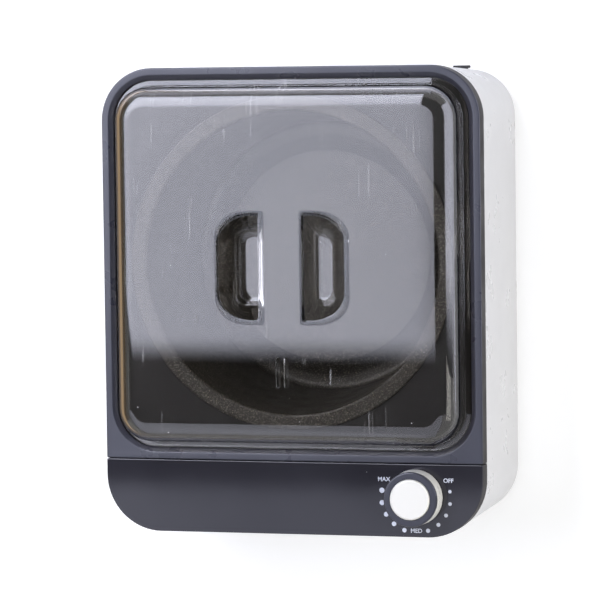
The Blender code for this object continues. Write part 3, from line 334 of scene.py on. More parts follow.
def turned(name, profile, centre=(0, 0), segments=small_round, material=None, ring=False):
    """A turned solid about an upright axis from (radius, height) pairs; a ring has no axis point."""
    if ring:
        return loft(name, [circle(radius, z, centre, segments) for radius, z in profile], material, ring=True)
    work = bmesh.new()
    rows = []
    for radius, z in profile:
        points = circle(radius, z, centre, segments) if radius > 0 else [(*centre, z)]
        rows.append([work.verts.new(point) for point in points])
    for low, high in zip(rows, rows[1:]):
        for here in range(segments):
            there = (here + 1) % segments
            if len(low) == 1:
                work.faces.new((low[0], high[there], high[here]))
            elif len(high) == 1:
                work.faces.new((low[here], low[there], high[0]))
            else:
                work.faces.new((low[here], low[there], high[there], high[here]))
    return finished(name, work, material)


def arc_points(centre, radius, start, stop, steps):
    """Points of an arc in a profile, ends included; angles in degrees."""
    angles = (math.radians(start + (stop - start) * index / steps) for index in range(steps + 1))
    return [(centre[0] + radius * math.cos(angle), centre[1] + radius * math.sin(angle)) for angle in angles]


def rounded_outline(half, front, rear, front_radius, rear_radius, steps=(corner_steps, corner_steps)):
    """A rounded rectangle, anticlockwise from its front right corner."""
    front_steps, rear_steps = steps
    corners = (
        (half - front_radius, front + front_radius, front_radius, -90, front_steps),
        (half - rear_radius, rear - rear_radius, rear_radius, 0, rear_steps),
        (rear_radius - half, rear - rear_radius, rear_radius, 90, rear_steps),
        (front_radius - half, front + front_radius, front_radius, 180, front_steps),
    )
    points = []
    for x, y, radius, start, count in corners:
        points += arc_points((x, y), radius, start, start + 90, count)
    return points


def inset_loop(inset, z, half, front, rear, radii, steps=(corner_steps, corner_steps)):
    """A rounded rectangle drawn in by an even amount, with its corners kept round, at a height."""
    shrunk = [max(radius - inset, sharp_corner_radius) for radius in radii]
    return [(x, y, z) for x, y in rounded_outline(half - inset, front + inset, rear - inset, *shrunk, steps)]


def body_loop(inset, z):
    return inset_loop(inset, z, half_width, front_y, rear_y, (front_corner_radius, rear_corner_radius))


def frame_loop(inset, z):
    front = seam_y + seat_gap / 2
    return inset_loop(inset, z, half_width, front, rear_y, (sharp_corner_radius, rear_corner_radius))


def opening_loop(inset, z):
    radii = (opening_corner_radius, opening_corner_radius)
    half = half_width - bezel_width
    return inset_loop(inset, z, half, seam_y + bezel_width, rear_y - bezel_width, radii)


def panel_loop(inset, z):
    rear = seam_y - seat_gap / 2
    steps = (corner_steps, sharp_steps)
    return inset_loop(inset, z, half_width, front_y, rear, (front_corner_radius, sharp_corner_radius), steps)


def block(name, centre, size, radius, bottom, top, material=None, steps=sharp_steps):
    """An upright block with rounded corners."""
    outline = rounded_outline(size[0] / 2, -size[1] / 2, size[1] / 2, radius, radius, (steps, steps))
    loops = [[(centre[0] + x, centre[1] + y, z) for x, y in outline] for z in (bottom, top)]
    return loft(name, loops, material)


def moved(thing, matrix):
    """Turn and place an object's mesh, its origin kept at the part's own."""
    thing.data.transform(matrix)
    return thing


def lying(place):
    """A matrix that lays an upright solid down with its axis towards +Y, at a place."""
    return Matrix.Translation(place) @ Matrix.Rotation(math.radians(-90), 4, "X")


def shaped(thing, cuts=(), adds=()):
    """Join and cut an object with its tools, keep the result as its mesh and delete the tools."""
    for operation, tools in (("UNION", adds), ("DIFFERENCE", cuts)):
        for tool in tools:
            change = thing.modifiers.new(tool.name, "BOOLEAN")
            change.operation = operation
            change.solver = "EXACT"
            change.object = tool
    deps = bpy.context.evaluated_depsgraph_get()
    mesh = bpy.data.meshes.new_from_object(thing.evaluated_get(deps))
    thing.modifiers.clear()
    thing.data = mesh
    smoothed(mesh)
    for tool in (*cuts, *adds):
        bpy.data.objects.remove(tool, do_unlink=True)
    return thing


def dressed(thing, body, slot, *nodes):
    """Even out a piece's shading and set its body and the nodes that it stands for; the slot, its finish, is
    not used.
    """
    even = thing.modifiers.new("even_normals", "WEIGHTED_NORMAL")
    even.keep_sharp = True
    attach(thing, body)
    if nodes:
        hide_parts(*nodes)
    return thing


def bore(name, place, radius, low, high, segments=small_round):
    return turned(name, [(0, low), (radius, low), (radius, high), (0, high)], place, segments)


# Materials

def mapped(tree, value, places, levels, shape="LINEAR"):
    """A value that changes from one level to another between two places and is constant outside them."""
    node = tree.nodes.new("ShaderNodeMapRange")
    node.interpolation_type = shape
    for socket, number in zip(("From Min", "From Max", "To Min", "To Max"), (*places, *levels)):
        node.inputs[socket].default_value = number
    tree.links.new(value, node.inputs["Value"])
    return node.outputs["Result"]


def combined(tree, operation, first, second):
    node = tree.nodes.new("ShaderNodeMath")
    node.operation = operation
    for source, socket in zip((first, second), node.inputs):
        tree.links.new(source, socket)
    return node.outputs["Value"]


class Look:
    """One procedural material: a Principled shader and short calls that build the nodes around it."""

    def __init__(self, name, roughness, metallic=0.0, ior=1.5):
        self.material = bpy.data.materials.new(name)
        self.material.use_nodes = True
        self.tree = self.material.node_tree
        self.shader = self.tree.nodes["Principled BSDF"]
        self.shader.inputs["Roughness"].default_value = roughness
        self.shader.inputs["Metallic"].default_value = metallic
        self.shader.inputs["IOR"].default_value = ior
        self.place = self.tree.nodes.new("ShaderNodeTexCoord").outputs["Object"]

    def join(self, source, target):
        self.tree.links.new(source, target)

    def stretched(self, scale, turn=0.0):
        """The object's coordinates, scaled by axis and turned about Z."""
        node = self.tree.nodes.new("ShaderNodeMapping")
        node.inputs["Scale"].default_value = scale
        node.inputs["Rotation"].default_value = (0, 0, turn)
        self.join(self.place, node.inputs["Vector"])
        return node.outputs["Vector"]

    def noise(self, scale, detail=3.0, source=None):
        node = self.tree.nodes.new("ShaderNodeTexNoise")
        node.inputs["Scale"].default_value = scale
        node.inputs["Detail"].default_value = detail
        self.join(source or self.place, node.inputs["Vector"])
        return node.outputs["Fac"]

    def cells(self, scale, source=None):
        """Distance from the nearest of a cloud of points, and a random value for each."""
        node = self.tree.nodes.new("ShaderNodeTexVoronoi")
        node.inputs["Scale"].default_value = scale
        self.join(source or self.place, node.inputs["Vector"])
        return node.outputs["Distance"], node.outputs["Color"]

    def remap(self, source, low, high, new_low, new_high):
        return mapped(self.tree, source, (low, high), (new_low, new_high))

    def times(self, first, second):
        return combined(self.tree, "MULTIPLY", first, second)

    def larger(self, first, second):
        return combined(self.tree, "MAXIMUM", first, second)

    def mixed(self, amount, first, second):
        """A colour between two, each a tuple or a socket."""
        node = self.tree.nodes.new("ShaderNodeMix")
        node.data_type = "RGBA"
        self.join(amount, node.inputs["Factor"])
        for value, socket in ((first, node.inputs["A"]), (second, node.inputs["B"])):
            if isinstance(value, tuple):
                socket.default_value = (*value, 1.0)
            else:
                self.join(value, socket)
        return node.outputs["Result"]

    def specks(self, scale, radius, share, source=None):
        """Small round specks on a share of the cells: 1 inside, 0 outside."""
        distance, random = self.cells(scale, source)
        inside = self.remap(distance, radius, radius * 0.6, 0.0, 1.0)
        chosen = self.remap(random, share, share * 0.98, 0.0, 1.0)
        return self.times(inside, chosen)

    def scratches(self, turn, fineness, threshold):
        """Long thin lines in one direction, broken up by a slow noise."""
        lines = self.noise(1.0, 1.0, self.stretched((fineness, 9.0, 9.0), turn))
        thin = self.remap(lines, threshold, threshold + 0.012, 0.0, 1.0)
        patches = self.remap(self.noise(38.0, 2.0), 0.56, 0.62, 0.0, 1.0)
        return self.times(thin, patches)

    def set_colour(self, source):
        self.join(source, self.shader.inputs["Base Color"])

    def set_roughness(self, source):
        self.join(source, self.shader.inputs["Roughness"])

    def bumped(self, source, distance, strength=1.0):
        node = self.tree.nodes.new("ShaderNodeBump")
        node.inputs["Distance"].default_value = distance
        node.inputs["Strength"].default_value = strength
        self.join(source, node.inputs["Height"])
        self.join(node.outputs["Normal"], self.shader.inputs["Normal"])


def plastic(name, dark, pale, roughness, dust=0.0, grain=0.00001, grain_scale=900.0, specular=0.5):
    """Moulded plastic: a slow change of colour, a fine grain, uneven gloss and a few specks of dust."""
    look = Look(name, roughness)
    slow = look.remap(look.noise(14.0), 0.35, 0.65, 0.0, 1.0)
    colour = look.mixed(slow, dark, pale)
    if dust:
        speck = look.specks(210.0, 0.075, dust)
        colour = look.mixed(speck, colour, (0.62, 0.62, 0.64))
    look.set_colour(colour)
    look.set_roughness(look.remap(look.noise(60.0, 4.0), 0.3, 0.7, roughness * 0.85, roughness * 1.2))
    look.bumped(look.noise(grain_scale, 2.0), grain)
    look.shader.inputs["Specular IOR Level"].default_value = specular
    return look.material


def metal(name, dark, pale, roughness, stretch=(1.0, 1.0, 1.0), scale=160.0):
    """Bare metal with fine drawing lines and uneven gloss."""
    look = Look(name, roughness, metallic=1.0)
    lines = look.noise(scale, 5.0, look.stretched(stretch))
    look.set_colour(look.mixed(look.remap(lines, 0.3, 0.7, 0.0, 1.0), dark, pale))
    look.set_roughness(look.remap(lines, 0.3, 0.7, roughness * 0.75, roughness * 1.3))
    look.bumped(lines, 0.00002)
    return look.material


def coated_pot():
    """A dark non-stick coating with fine bronze and grey specks."""
    look = Look("coated_pot_look", 0.38, metallic=0.15)
    grey = look.remap(look.noise(1500.0, 2.0), 0.50, 0.72, 0.0, 1.0)
    base = look.mixed(grey, (0.060, 0.058, 0.053), (0.270, 0.255, 0.232))
    bronze = look.specks(900.0, 0.30, 0.22)
    look.set_colour(look.mixed(bronze, base, (0.50, 0.44, 0.36)))
    look.set_roughness(look.remap(look.noise(90.0), 0.3, 0.7, 0.30, 0.46))
    look.bumped(look.noise(1300.0, 2.0), 0.00001)
    return look.material


def smoky_lid(name, gloss, wave):
    """Clear smoky plastic with specks and hair scratches; its shadow lets tinted light through."""
    look = Look(name, gloss, ior=1.52)
    speck = look.specks(150.0, 0.055, 0.24)
    fine = look.larger(look.scratches(math.radians(22), 900.0, 0.665),
                       look.scratches(math.radians(-35), 700.0, 0.675))
    marks = look.larger(speck, look.remap(fine, 0.0, 1.0, 0.0, 0.30))
    tint = look.remap(look.noise(9.0), 0.3, 0.7, 0.0, 1.0)
    clear = look.mixed(tint, (0.60, 0.58, 0.545), (0.64, 0.62, 0.585))
    look.set_colour(look.mixed(marks, clear, (0.90, 0.90, 0.92)))
    look.join(look.remap(marks, 0.0, 1.0, 1.0, 0.30), look.shader.inputs["Transmission Weight"])
    look.set_roughness(look.remap(marks, 0.0, 1.0, gloss, 0.5))
    look.bumped(look.noise(5.5, 1.0), wave, 0.55)
    tree = look.tree
    passing = tree.nodes.new("ShaderNodeBsdfTransparent")
    passing.inputs["Color"].default_value = (0.66, 0.64, 0.60, 1.0)
    path = tree.nodes.new("ShaderNodeLightPath")
    either = look.larger(path.outputs["Is Shadow Ray"], path.outputs["Is Diffuse Ray"])
    mix = tree.nodes.new("ShaderNodeMixShader")
    look.join(either, mix.inputs["Fac"])
    look.join(look.shader.outputs["BSDF"], mix.inputs[1])
    look.join(passing.outputs["BSDF"], mix.inputs[2])
    look.join(mix.outputs["Shader"], tree.nodes["Material Output"].inputs["Surface"])
    return look.material


def felt_wool():
    look = Look("felt_look", 0.95)
    fibres = look.noise(700.0, 6.0)
    look.set_colour(look.mixed(fibres, (0.55, 0.53, 0.46), (0.85, 0.83, 0.75)))
    look.bumped(fibres, 0.0005)
    look.shader.inputs["Sheen Weight"].default_value = 0.3
    return look.material


def print_ink():
    look = Look("print_ink_look", 0.45)
    look.set_colour(look.mixed(look.noise(900.0), (0.62, 0.65, 0.74), (0.74, 0.77, 0.86)))
    return look.material


looks = {
    "white": plastic("white_look", (0.600, 0.595, 0.600), (0.630, 0.624, 0.624), 0.30, 0.0, 0.00002, 40.0),
    "cap": plastic("cap_look", (0.930, 0.912, 0.850), (0.950, 0.930, 0.870), 0.30, 0.0, 0.00001, 60.0),
    # painted shade: a near-black, barely reflective copy used on the upright sides of the frame and panel
    "painted_shade_side": plastic("painted_shade_side_look", (0.011, 0.008, 0.009), (0.014, 0.011, 0.011), 0.45, specular=0.12),
    "slate": plastic("slate_look", (0.026, 0.027, 0.040), (0.032, 0.033, 0.047), 0.30, 0.10, 0.000006, 1400.0),
    "gloss": plastic("gloss_look", (0.027, 0.026, 0.033), (0.032, 0.031, 0.039), 0.05, 0.10, 0.00001, 60.0),
    "deck": plastic("deck_look", (0.015, 0.015, 0.016), (0.021, 0.021, 0.022), 0.42, 0.10, 0.00001, 900.0),
    "rubber": plastic("rubber_look", (0.018, 0.018, 0.018), (0.032, 0.032, 0.032), 0.75, 0.05, 0.00006),
    "silicone": plastic("silicone_look", (0.46, 0.11, 0.08), (0.56, 0.15, 0.11), 0.55),
    "ceramic": plastic("ceramic_look", (0.78, 0.75, 0.68), (0.88, 0.85, 0.79), 0.5, 0.0, 0.00004),
    "phenolic": plastic("phenolic_look", (0.035, 0.030, 0.026), (0.06, 0.05, 0.044), 0.45),
    "red": plastic("red_wire_look", (0.36, 0.03, 0.025), (0.46, 0.06, 0.05), 0.42),
    "blue": plastic("blue_wire_look", (0.03, 0.09, 0.33), (0.06, 0.14, 0.44), 0.42),
    "aluminium": metal("aluminium_look", (0.66, 0.66, 0.67), (0.80, 0.80, 0.81), 0.34, (1.0, 1.0, 6.0)),
    "steel": metal("steel_look", (0.50, 0.50, 0.51), (0.64, 0.64, 0.65), 0.28),
    "copper": metal("copper_look", (0.62, 0.31, 0.19), (0.80, 0.46, 0.30), 0.33),
    "brass": metal("brass_look", (0.66, 0.50, 0.22), (0.80, 0.64, 0.34), 0.32),
    "pot": coated_pot(),
    "lid": smoky_lid("smoky_lid_look", 0.006, 0.00012),
    "lid_rim": smoky_lid("satin_rim_look", 0.14, 0.00002),
    "felt": felt_wool(),
    "ink": print_ink(),
}


# Fine pieces

def screw_places():
    x = half_width - screw_inset
    rear = rear_y - screw_end_distance
    front = seam_y + screw_front_distance
    return [(side * x, y) for y in (front, rear) for side in (-1, 1)]


def foot_places():
    x = half_width - foot_inset
    ends = (("front", front_y + foot_inset), ("rear", rear_y - foot_inset))
    return {f"{end}_{side}": (sign * x, y) for end, y in ends for side, sign in (("left", -1), ("right", 1))}


def wall_inset(z):
    low = base_z + base_edge_radius
    share = (rim_z - z) / (rim_z - low)
    return housing_rim_step + (housing_draft - housing_rim_step) * share


gland_z = base_z + gland_from_base


def make_housing():
    outer_base = housing_draft + base_edge_radius
    edge = [(outer_base - x, base_z + base_edge_radius - y)
            for x, y in arc_points((0, 0), base_edge_radius, 90, 0, 2 * edge_steps)]
    inner_radius = base_edge_radius - housing_wall
    inner_z = ledge_top_z + inner_radius
    inner_base = housing_draft + housing_wall + inner_radius
    corner = [(inner_base - x, inner_z - y) for x, y in arc_points((0, 0), inner_radius, 0, 90, edge_steps)]
    section = [(base_ledge_inset, base_z)] + edge
    section += [(housing_rim_step, rim_z), (housing_rim_step + housing_wall, rim_z)] + corner
    ledge_end = base_ledge_inset + base_ledge_width
    section += [(ledge_end, ledge_top_z), (ledge_end, ledge_bottom_z), (base_ledge_inset, ledge_bottom_z)]
    housing = loft("housing_shell", [body_loop(*step) for step in section], looks["white"], ring=True)
    radius = screw_shank_radius + screw_clearance
    cuts = [bore(f"hole_{index}", place, radius, ledge_bottom_z - cut_overrun, ledge_top_z + cut_overrun)
            for index, place in enumerate(screw_places())]
    reach = housing_wall + housing_draft + cut_overrun
    hole = bore("gland_hole", (0, 0), gland_neck_radius + seat_gap, -reach, cut_overrun, middle_round)
    cuts.append(moved(hole, lying((gland_x, rear_y, gland_z))))
    dressed(shaped(housing, cuts), "base", "white_plastic", "housing")


def tab_blocks(name, places, top):
    bottom = rim_z - snap_tab_length
    blocks = []
    for index, (x, y, along_x) in enumerate(places):
        size = (snap_tab_width, snap_tab_thickness) if along_x else (snap_tab_thickness, snap_tab_width)
        blocks.append(block(f"{name}_{index}", (x, y), size, snap_tab_thickness / 4, bottom, top))
    return blocks


def paint_shade_on_sides(thing):
    """Give the upright faces of a trim piece a near-black, barely reflective material: painted shade on its
    sides.
    """
    thing.data.materials.append(looks["painted_shade_side"])
    for face in thing.data.polygons:
        if abs(face.normal.z) < side_face_share and face.center.z < face_height - bezel_edge_radius / 2:
            face.material_index = len(thing.data.materials) - 1


def make_frame():
    skirt_z = rim_z + seat_gap
    foot_z = deck_z + seat_gap
    rim = [(bezel_edge_radius - x, face_height - bezel_edge_radius + y)
           for x, y in arc_points((0, 0), bezel_edge_radius, 0, 90, edge_steps)]
    edge = bezel_inner_edge
    rows = [frame_loop(inset, z) for inset, z in [(0, skirt_z)] + rim]
    slope_z = face_height - bezel_slope_drop
    opening = [(-bezel_slope_width - edge, face_height), (-bezel_slope_width, face_height - edge / 4),
               (-edge / 2, slope_z + edge / 4), (0, slope_z - edge / 2), (0, foot_z)]
    rows += [opening_loop(*step) for step in opening]
    rows += [frame_loop(skirt_wall, foot_z), frame_loop(skirt_wall, skirt_z)]
    piece = loft("frame_bezel", rows, looks["slate"], ring=True)
    x = half_width - tab_inset - snap_tab_thickness / 2
    y = rear_y - tab_inset - snap_tab_thickness / 2
    reach = frame_length / 2
    places = [(side * x, pot_y + share * reach, False) for side in (-1, 1) for share in tab_side_shares]
    places += [(share * half_width, y, True) for share in tab_rear_shares]
    tabs = tab_blocks("frame_tab", places, foot_z + skirt_wall)
    shaped(piece, adds=tabs)
    # painted shade on the frame's upright sides
    paint_shade_on_sides(piece)
    dressed(piece, "base", "slate_plastic", "top_frame")


def make_panel():
    skirt_z = rim_z + seat_gap
    under = face_height - panel_skin
    rim = [(panel_edge_radius - x, face_height - panel_edge_radius + y)
           for x, y in arc_points((0, 0), panel_edge_radius, 0, 90, edge_steps)]
    panel = loft("panel_skin", [panel_loop(inset, z) for inset, z in [(0, skirt_z)] + rim], looks["gloss"])
    levels = (skirt_z - cut_overrun, under)
    hollow = loft("panel_hollow", [panel_loop(skirt_wall, z) for z in levels])
    neck = thermostat_neck_radius + seat_gap
    levels = (under - cut_overrun, face_height + cut_overrun)
    hole = bore("panel_hole", (knob_x, knob_y), neck, *levels, middle_round)
    y = front_y + tab_inset + snap_tab_thickness / 2
    tabs = tab_blocks("panel_tab", [(share * half_width, y, True) for share in tab_side_shares],
                      under + panel_skin / 2)
    shaped(panel, cuts=[hollow, hole])
    shaped(panel, adds=tabs)
    # painted shade on the panel's upright sides
    paint_shade_on_sides(panel)
    dressed(panel, "base", "gloss_plastic", "control_panel")


def make_deck():
    bottom = deck_z - deck_thickness
    deck = loft("deck_sheet", [frame_loop(deck_inset, bottom), frame_loop(deck_inset, deck_z)], looks["deck"])
    levels = (bottom - cut_overrun, deck_z + cut_overrun)
    hole = bore("deck_hole", (0, pot_y), deck_hole_radius, *levels, large_round)
    foot = ledge_top_z + seat_gap
    posts = [bore(f"post_{index}", place, post_radius, foot, deck_z - deck_thickness / 2)
             for index, place in enumerate(screw_places())]
    dressed(shaped(deck, [hole], posts), "base", "deck_plastic", "deck_plate")


def make_pot():
    lip_centre = (pot_mouth_radius + pot_lip_radius, flange_z - pot_lip_radius)
    heel_centre = (pot_floor_radius - pot_heel_radius, pot_floor_z + pot_heel_radius)
    plateau_z = pot_floor_z + pot_plateau_height
    soft = pot_plateau_height / 3
    inner = [(0, plateau_z), (pot_plateau_radius - soft, plateau_z),
             (pot_plateau_radius, plateau_z - soft / 4), (pot_plateau_radius + soft / 2, plateau_z - soft),
             (pot_trough_inner_radius - soft / 2, pot_floor_z + soft / 3),
             (pot_trough_inner_radius + soft / 2, pot_floor_z)]
    inner += arc_points(heel_centre, pot_heel_radius, -90, 0, edge_steps)
    inner += arc_points(lip_centre, pot_lip_radius, 180, 90, edge_steps)
    edge = pot_wall / 2
    rim = arc_points((pot_flange_radius - edge, flange_z - edge), edge, 90, -90, 2 * edge_steps)
    small = pot_lip_radius - pot_wall
    under_centre = (lip_centre[0] + pot_wall - small, lip_centre[1] - pot_wall + pot_lip_radius - small)
    under = arc_points(under_centre, small, 90, 180, 3)
    heel = arc_points(heel_centre, pot_heel_radius + pot_wall, 0, -90, edge_steps)
    outer = rim + under + heel + [(pot_trough_inner_radius, pot_base_z),
                                  (pot_plateau_radius, pot_base_z + pot_plateau_height),
                                  (0, pot_base_z + pot_plateau_height)]
    pot = turned("pot_shell", inner + outer, (0, pot_y), large_round, looks["pot"])
    middle = pot_y + (pot_mouth_radius + pot_lip_radius + pot_flange_radius) / 2
    dimple = bore("flange_dimple", (0, middle), pot_dimple_radius, flange_z - pot_dimple_depth,
                  flange_z + cut_overrun, middle_round)
    dressed(shaped(pot, [dimple]), "pot", "coated_pot", "pot")


def lid_section():
    """The lid's outer and inner profile as (inset, height), from the flat top to the lip and back inside."""
    lip_top = lip_bottom_z + lid_wall
    turn = math.pi / 2 - lid_wall_lean
    lean = math.tan(lid_wall_lean)
    across = lid_flat_inset - lid_lip_width - (lid_top_z - lip_top) * lean
    radius = across / (math.sin(turn) - (1 - math.cos(turn)) * lean)
    centre = (lid_flat_inset, lid_top_z - radius)
    shoulder = arc_points(centre, radius, 90, 90 + math.degrees(turn), shoulder_steps)
    hollow = arc_points(centre, radius - lid_wall, 90 + math.degrees(turn), 90, shoulder_steps)
    foot = lid_lip_width + lid_wall * (1 - math.sin(lid_wall_lean)) / math.cos(lid_wall_lean)
    edge = lid_lip_edge
    root = [(lid_lip_width + edge * lean, lip_top + edge), (lid_lip_width - edge, lip_top)]
    lip = [(-x, z) for x, z in arc_points((-edge, lip_top - lid_lip_fall - edge), edge, 90, 0, 3)]
    return shoulder + root + lip + [(0, lip_bottom_z), (foot, lip_bottom_z)] + hollow


def pocket_outline(grow, depth_share):
    """The right-hand pocket's outline about its grip edge and middle: a D that tightens downwards."""
    near = pocket_floor_grip_draft * depth_share - grow
    far = pocket_width - pocket_floor_outer_draft * depth_share + grow
    half = pocket_length / 2 - pocket_floor_end_draft * depth_share + grow
    curve_width = pocket_curve_width + (pocket_floor_curve - pocket_curve_width) * depth_share
    curve_length = pocket_curve_length + (pocket_floor_curve - pocket_curve_length) * depth_share
    curve_x = min(curve_width, (far - near) * pocket_curve_share)
    curve_y = min(curve_length, half * pocket_curve_share)
    grip = min(pocket_grip_corner, (far - near) * pocket_grip_share)
    corners = (
        ((far - curve_x, curve_y - half), curve_x, curve_y, -90),
        ((far - curve_x, half - curve_y), curve_x, curve_y, 0),
        ((near + grip, half - grip), grip, grip, 90),
        ((near + grip, grip - half), grip, grip, 180),
    )
    points = []
    for (x, y), wide, tall, start in corners:
        for index in range(pocket_steps + 1):
            turn = math.radians(start + 90 * index / pocket_steps)
            points.append((x + wide * math.cos(turn), y + tall * math.sin(turn)))
    return points


def pocket_loop(side, z, grow, depth_share=0.0):
    grip_x = pocket_spacing / 2
    middle_y = pot_y - pocket_shift
    loop = [(side * (grip_x + x), middle_y + y, z) for x, y in pocket_outline(grow, depth_share)]
    return loop if side > 0 else loop[::-1]


def pocket_levels(grow, rim):
    """The levels of a pocket from its floor up: (height, growth, share of the draft)."""
    floor_z = lid_top_z - pocket_depth - grow
    radius = pocket_floor_radius + grow
    levels = []
    for across, up in arc_points((0, 0), radius, -90, 0, edge_steps):
        levels.append((floor_z + radius + up, grow - radius + across, 1 - (radius + up) / pocket_depth))
    if rim:
        for index in range(rim_steps + 1):
            turn = math.radians(90 * index / rim_steps)
            drop = pocket_rim_drop * (1 - math.sin(turn))
            wide = pocket_rim_width * (1 - math.cos(turn))
            levels.append((lid_top_z - drop, wide, drop / pocket_depth))
        levels.append((lid_top_z + cut_overrun, pocket_rim_width, 0))
    return levels


def vent_loop(side, grow, z):
    """One vent slot's outline at a height."""
    x = side * lid_vent_pitch / 2
    y = lid_flat_y + lid_vent_margin + lid_vent_length / 2
    half = lid_vent_width / 2 + grow
    end = lid_vent_length / 2 + grow
    radius = 2 * half * slot_round_share
    outline = rounded_outline(half, -end, end, radius, radius, (edge_steps, edge_steps))
    return [(x + across, y + along, z) for across, along in outline]


def vent_levels():
    edge = lid_vent_edge
    return [(0, lid_top_z - lid_wall - cut_overrun), (0, lid_top_z - edge), (edge, lid_top_z),
            (edge, lid_top_z + cut_overrun)]


def rim_material(cutter):
    """Mark the faces near the lid's top, so that what they cut gets the satin finish."""
    cutter.data.materials.append(looks["lid"])
    cutter.data.materials.append(looks["lid_rim"])
    for face in cutter.data.polygons:
        if face.center.z > lid_top_z - pocket_rim_drop:
            face.material_index = 1


def make_lid():
    loops = [opening_loop(lid_side_gap + inset, z) for inset, z in lid_section()]
    lid = loft("lid_clear", loops, looks["lid"])
    lid.data.materials.append(looks["lid_rim"])
    shells = []
    hollows = []
    for side in (-1, 1):
        shell = pocket_levels(lid_wall, rim=False)
        shell.append((lid_top_z - lid_wall / 2, lid_wall + pocket_rim_width / 2, 0))
        shells.append(loft(f"pocket_shell_{side}", [pocket_loop(side, *level) for level in shell]))
        levels = pocket_levels(0, rim=True)
        hollows.append(loft(f"pocket_hollow_{side}", [pocket_loop(side, *level) for level in levels]))
        hollows.append(loft(f"lid_vent_{side}", [vent_loop(side, grow, z) for grow, z in vent_levels()]))
    for hollow in hollows:
        rim_material(hollow)
    shaped(lid, adds=shells)
    dressed(shaped(lid, cuts=hollows), "lid", "smoky_clear", "lid")


def make_knob():
    place = (knob_x, knob_y)
    bottom = face_height + knob_clearance
    top = bottom + knob_body_height
    top_radius = knob_radius - knob_draft
    hollow_top = top - knob_skirt_wall
    hollow = knob_radius - knob_skirt_wall
    rim = arc_points((knob_radius - knob_edge, bottom + knob_edge), knob_edge, 0, -90, 3)
    profile = [(0, top), (top_radius - knob_edge, top), (top_radius, top - knob_edge), *rim, (hollow, bottom),
               (hollow, hollow_top), (knob_hub_radius, hollow_top), (knob_hub_radius, bottom + seat_gap),
               (0, bottom + seat_gap)]
    body = turned("knob_barrel", profile, place, middle_round, looks["cap"])
    dressed(body, "knob", "white_plastic", "knob_body")
    ring_z = top + seat_gap / 3
    ring_top = top + seat_gap + knob_ring_height
    cap_hole = knob_cap_radius + seat_gap / 2
    centre = (top_radius - knob_ring_edge, ring_top - knob_ring_edge)
    edge = arc_points(centre, knob_ring_edge, 0, 90, edge_steps)
    inner = arc_points((cap_hole + knob_edge, ring_top - knob_edge), knob_edge, 90, 180, 3)
    ring = turned("knob_trim", [(cap_hole, ring_z), (top_radius, ring_z), *edge, *inner], place, middle_round,
                  looks["slate"], ring=True)
    dressed(ring, "knob", "slate_plastic", "knob_ring")
    cap_top = ring_top + knob_cap_proud
    centre = (knob_cap_radius - knob_cap_edge, cap_top - knob_cap_edge)
    dome = arc_points(centre, knob_cap_edge, 0, 90, edge_steps)
    profile = [(0, ring_z), (knob_cap_radius, ring_z), *dome, (0, cap_top)]
    cap = turned("knob_disc", profile, place, middle_round, looks["cap"])
    dressed(cap, "knob", "white_plastic", "knob_cap")


def make_gland():
    wall_y = rear_y - wall_inset(gland_z + gland_radius)
    inner_y = rear_y - wall_inset(gland_z - gland_nut_radius) - housing_wall
    outer = wall_y + seat_gap + gland_proud
    length = outer - inner_y + gland_reach
    edge = arc_points((gland_radius - gland_edge, -gland_edge), gland_edge, 0, 90, 4)
    profile = [(0, -length), (gland_neck_radius, -length), (gland_neck_radius, -gland_proud),
               (gland_radius, -gland_proud), *edge, (0, 0)]
    gland = turned("gland_body", profile, segments=middle_round, material=looks["rubber"])
    half_height = gland_bore_height / 2
    round_end = half_height * bore_round_share
    outline = rounded_outline(gland_bore_width / 2, -half_height, half_height, round_end, round_end, (8, 8))
    hole = loft("gland_bore", [[(x, y, z) for x, y in outline] for z in (-length - cut_overrun, cut_overrun)])
    moved(shaped(gland, [hole]), lying((gland_x, outer, gland_z)))
    dressed(gland, "base", "rubber", "cord_gland")


def make_feet():
    top = base_z + foot_socket_depth - seat_gap
    waist = foot_radius * foot_waist_share
    for name, place in foot_places().items():
        sole = arc_points((waist - knob_edge, knob_edge), knob_edge, -90, 0, 4)
        profile = [(0, 0), *sole, (foot_radius, base_z - seat_gap), (foot_radius, top), (0, top)]
        foot = turned(f"foot_pad_{name}", profile, place, middle_round, looks["rubber"])
        dressed(foot, "base", "rubber", f"foot_{name}")


def make_long_screws():
    """Countersunk screws with a cross recess in the head."""
    bottom = base_z + seat_gap / 2
    neck = bottom + screw_head_height
    tip = neck + screw_length
    slot_length = screw_head_radius
    for index, place in enumerate(screw_places()):
        edge = arc_points((screw_head_radius - seat_gap, bottom + seat_gap), seat_gap, -90, 0, 3)
        profile = [(0, bottom), *edge, (screw_head_radius, neck), (screw_shank_radius, neck),
                   (screw_shank_radius, tip - screw_shank_radius),
                   (screw_shank_radius * shank_tip_share, tip), (0, tip)]
        screw = turned(f"long_screw_{index + 1}", profile, place, small_round, looks["steel"])
        depth = bottom + screw_head_height / 2
        cuts = [block(f"recess_{index}_{along}", place,
                      (slot_length, screw_clearance * 1.5) if along else (screw_clearance * 1.5, slot_length),
                      screw_clearance / 2, bottom - cut_overrun, depth) for along in (0, 1)]
        dressed(shaped(screw, cuts), "base", "steel", f"housing_screw_{index + 1}")


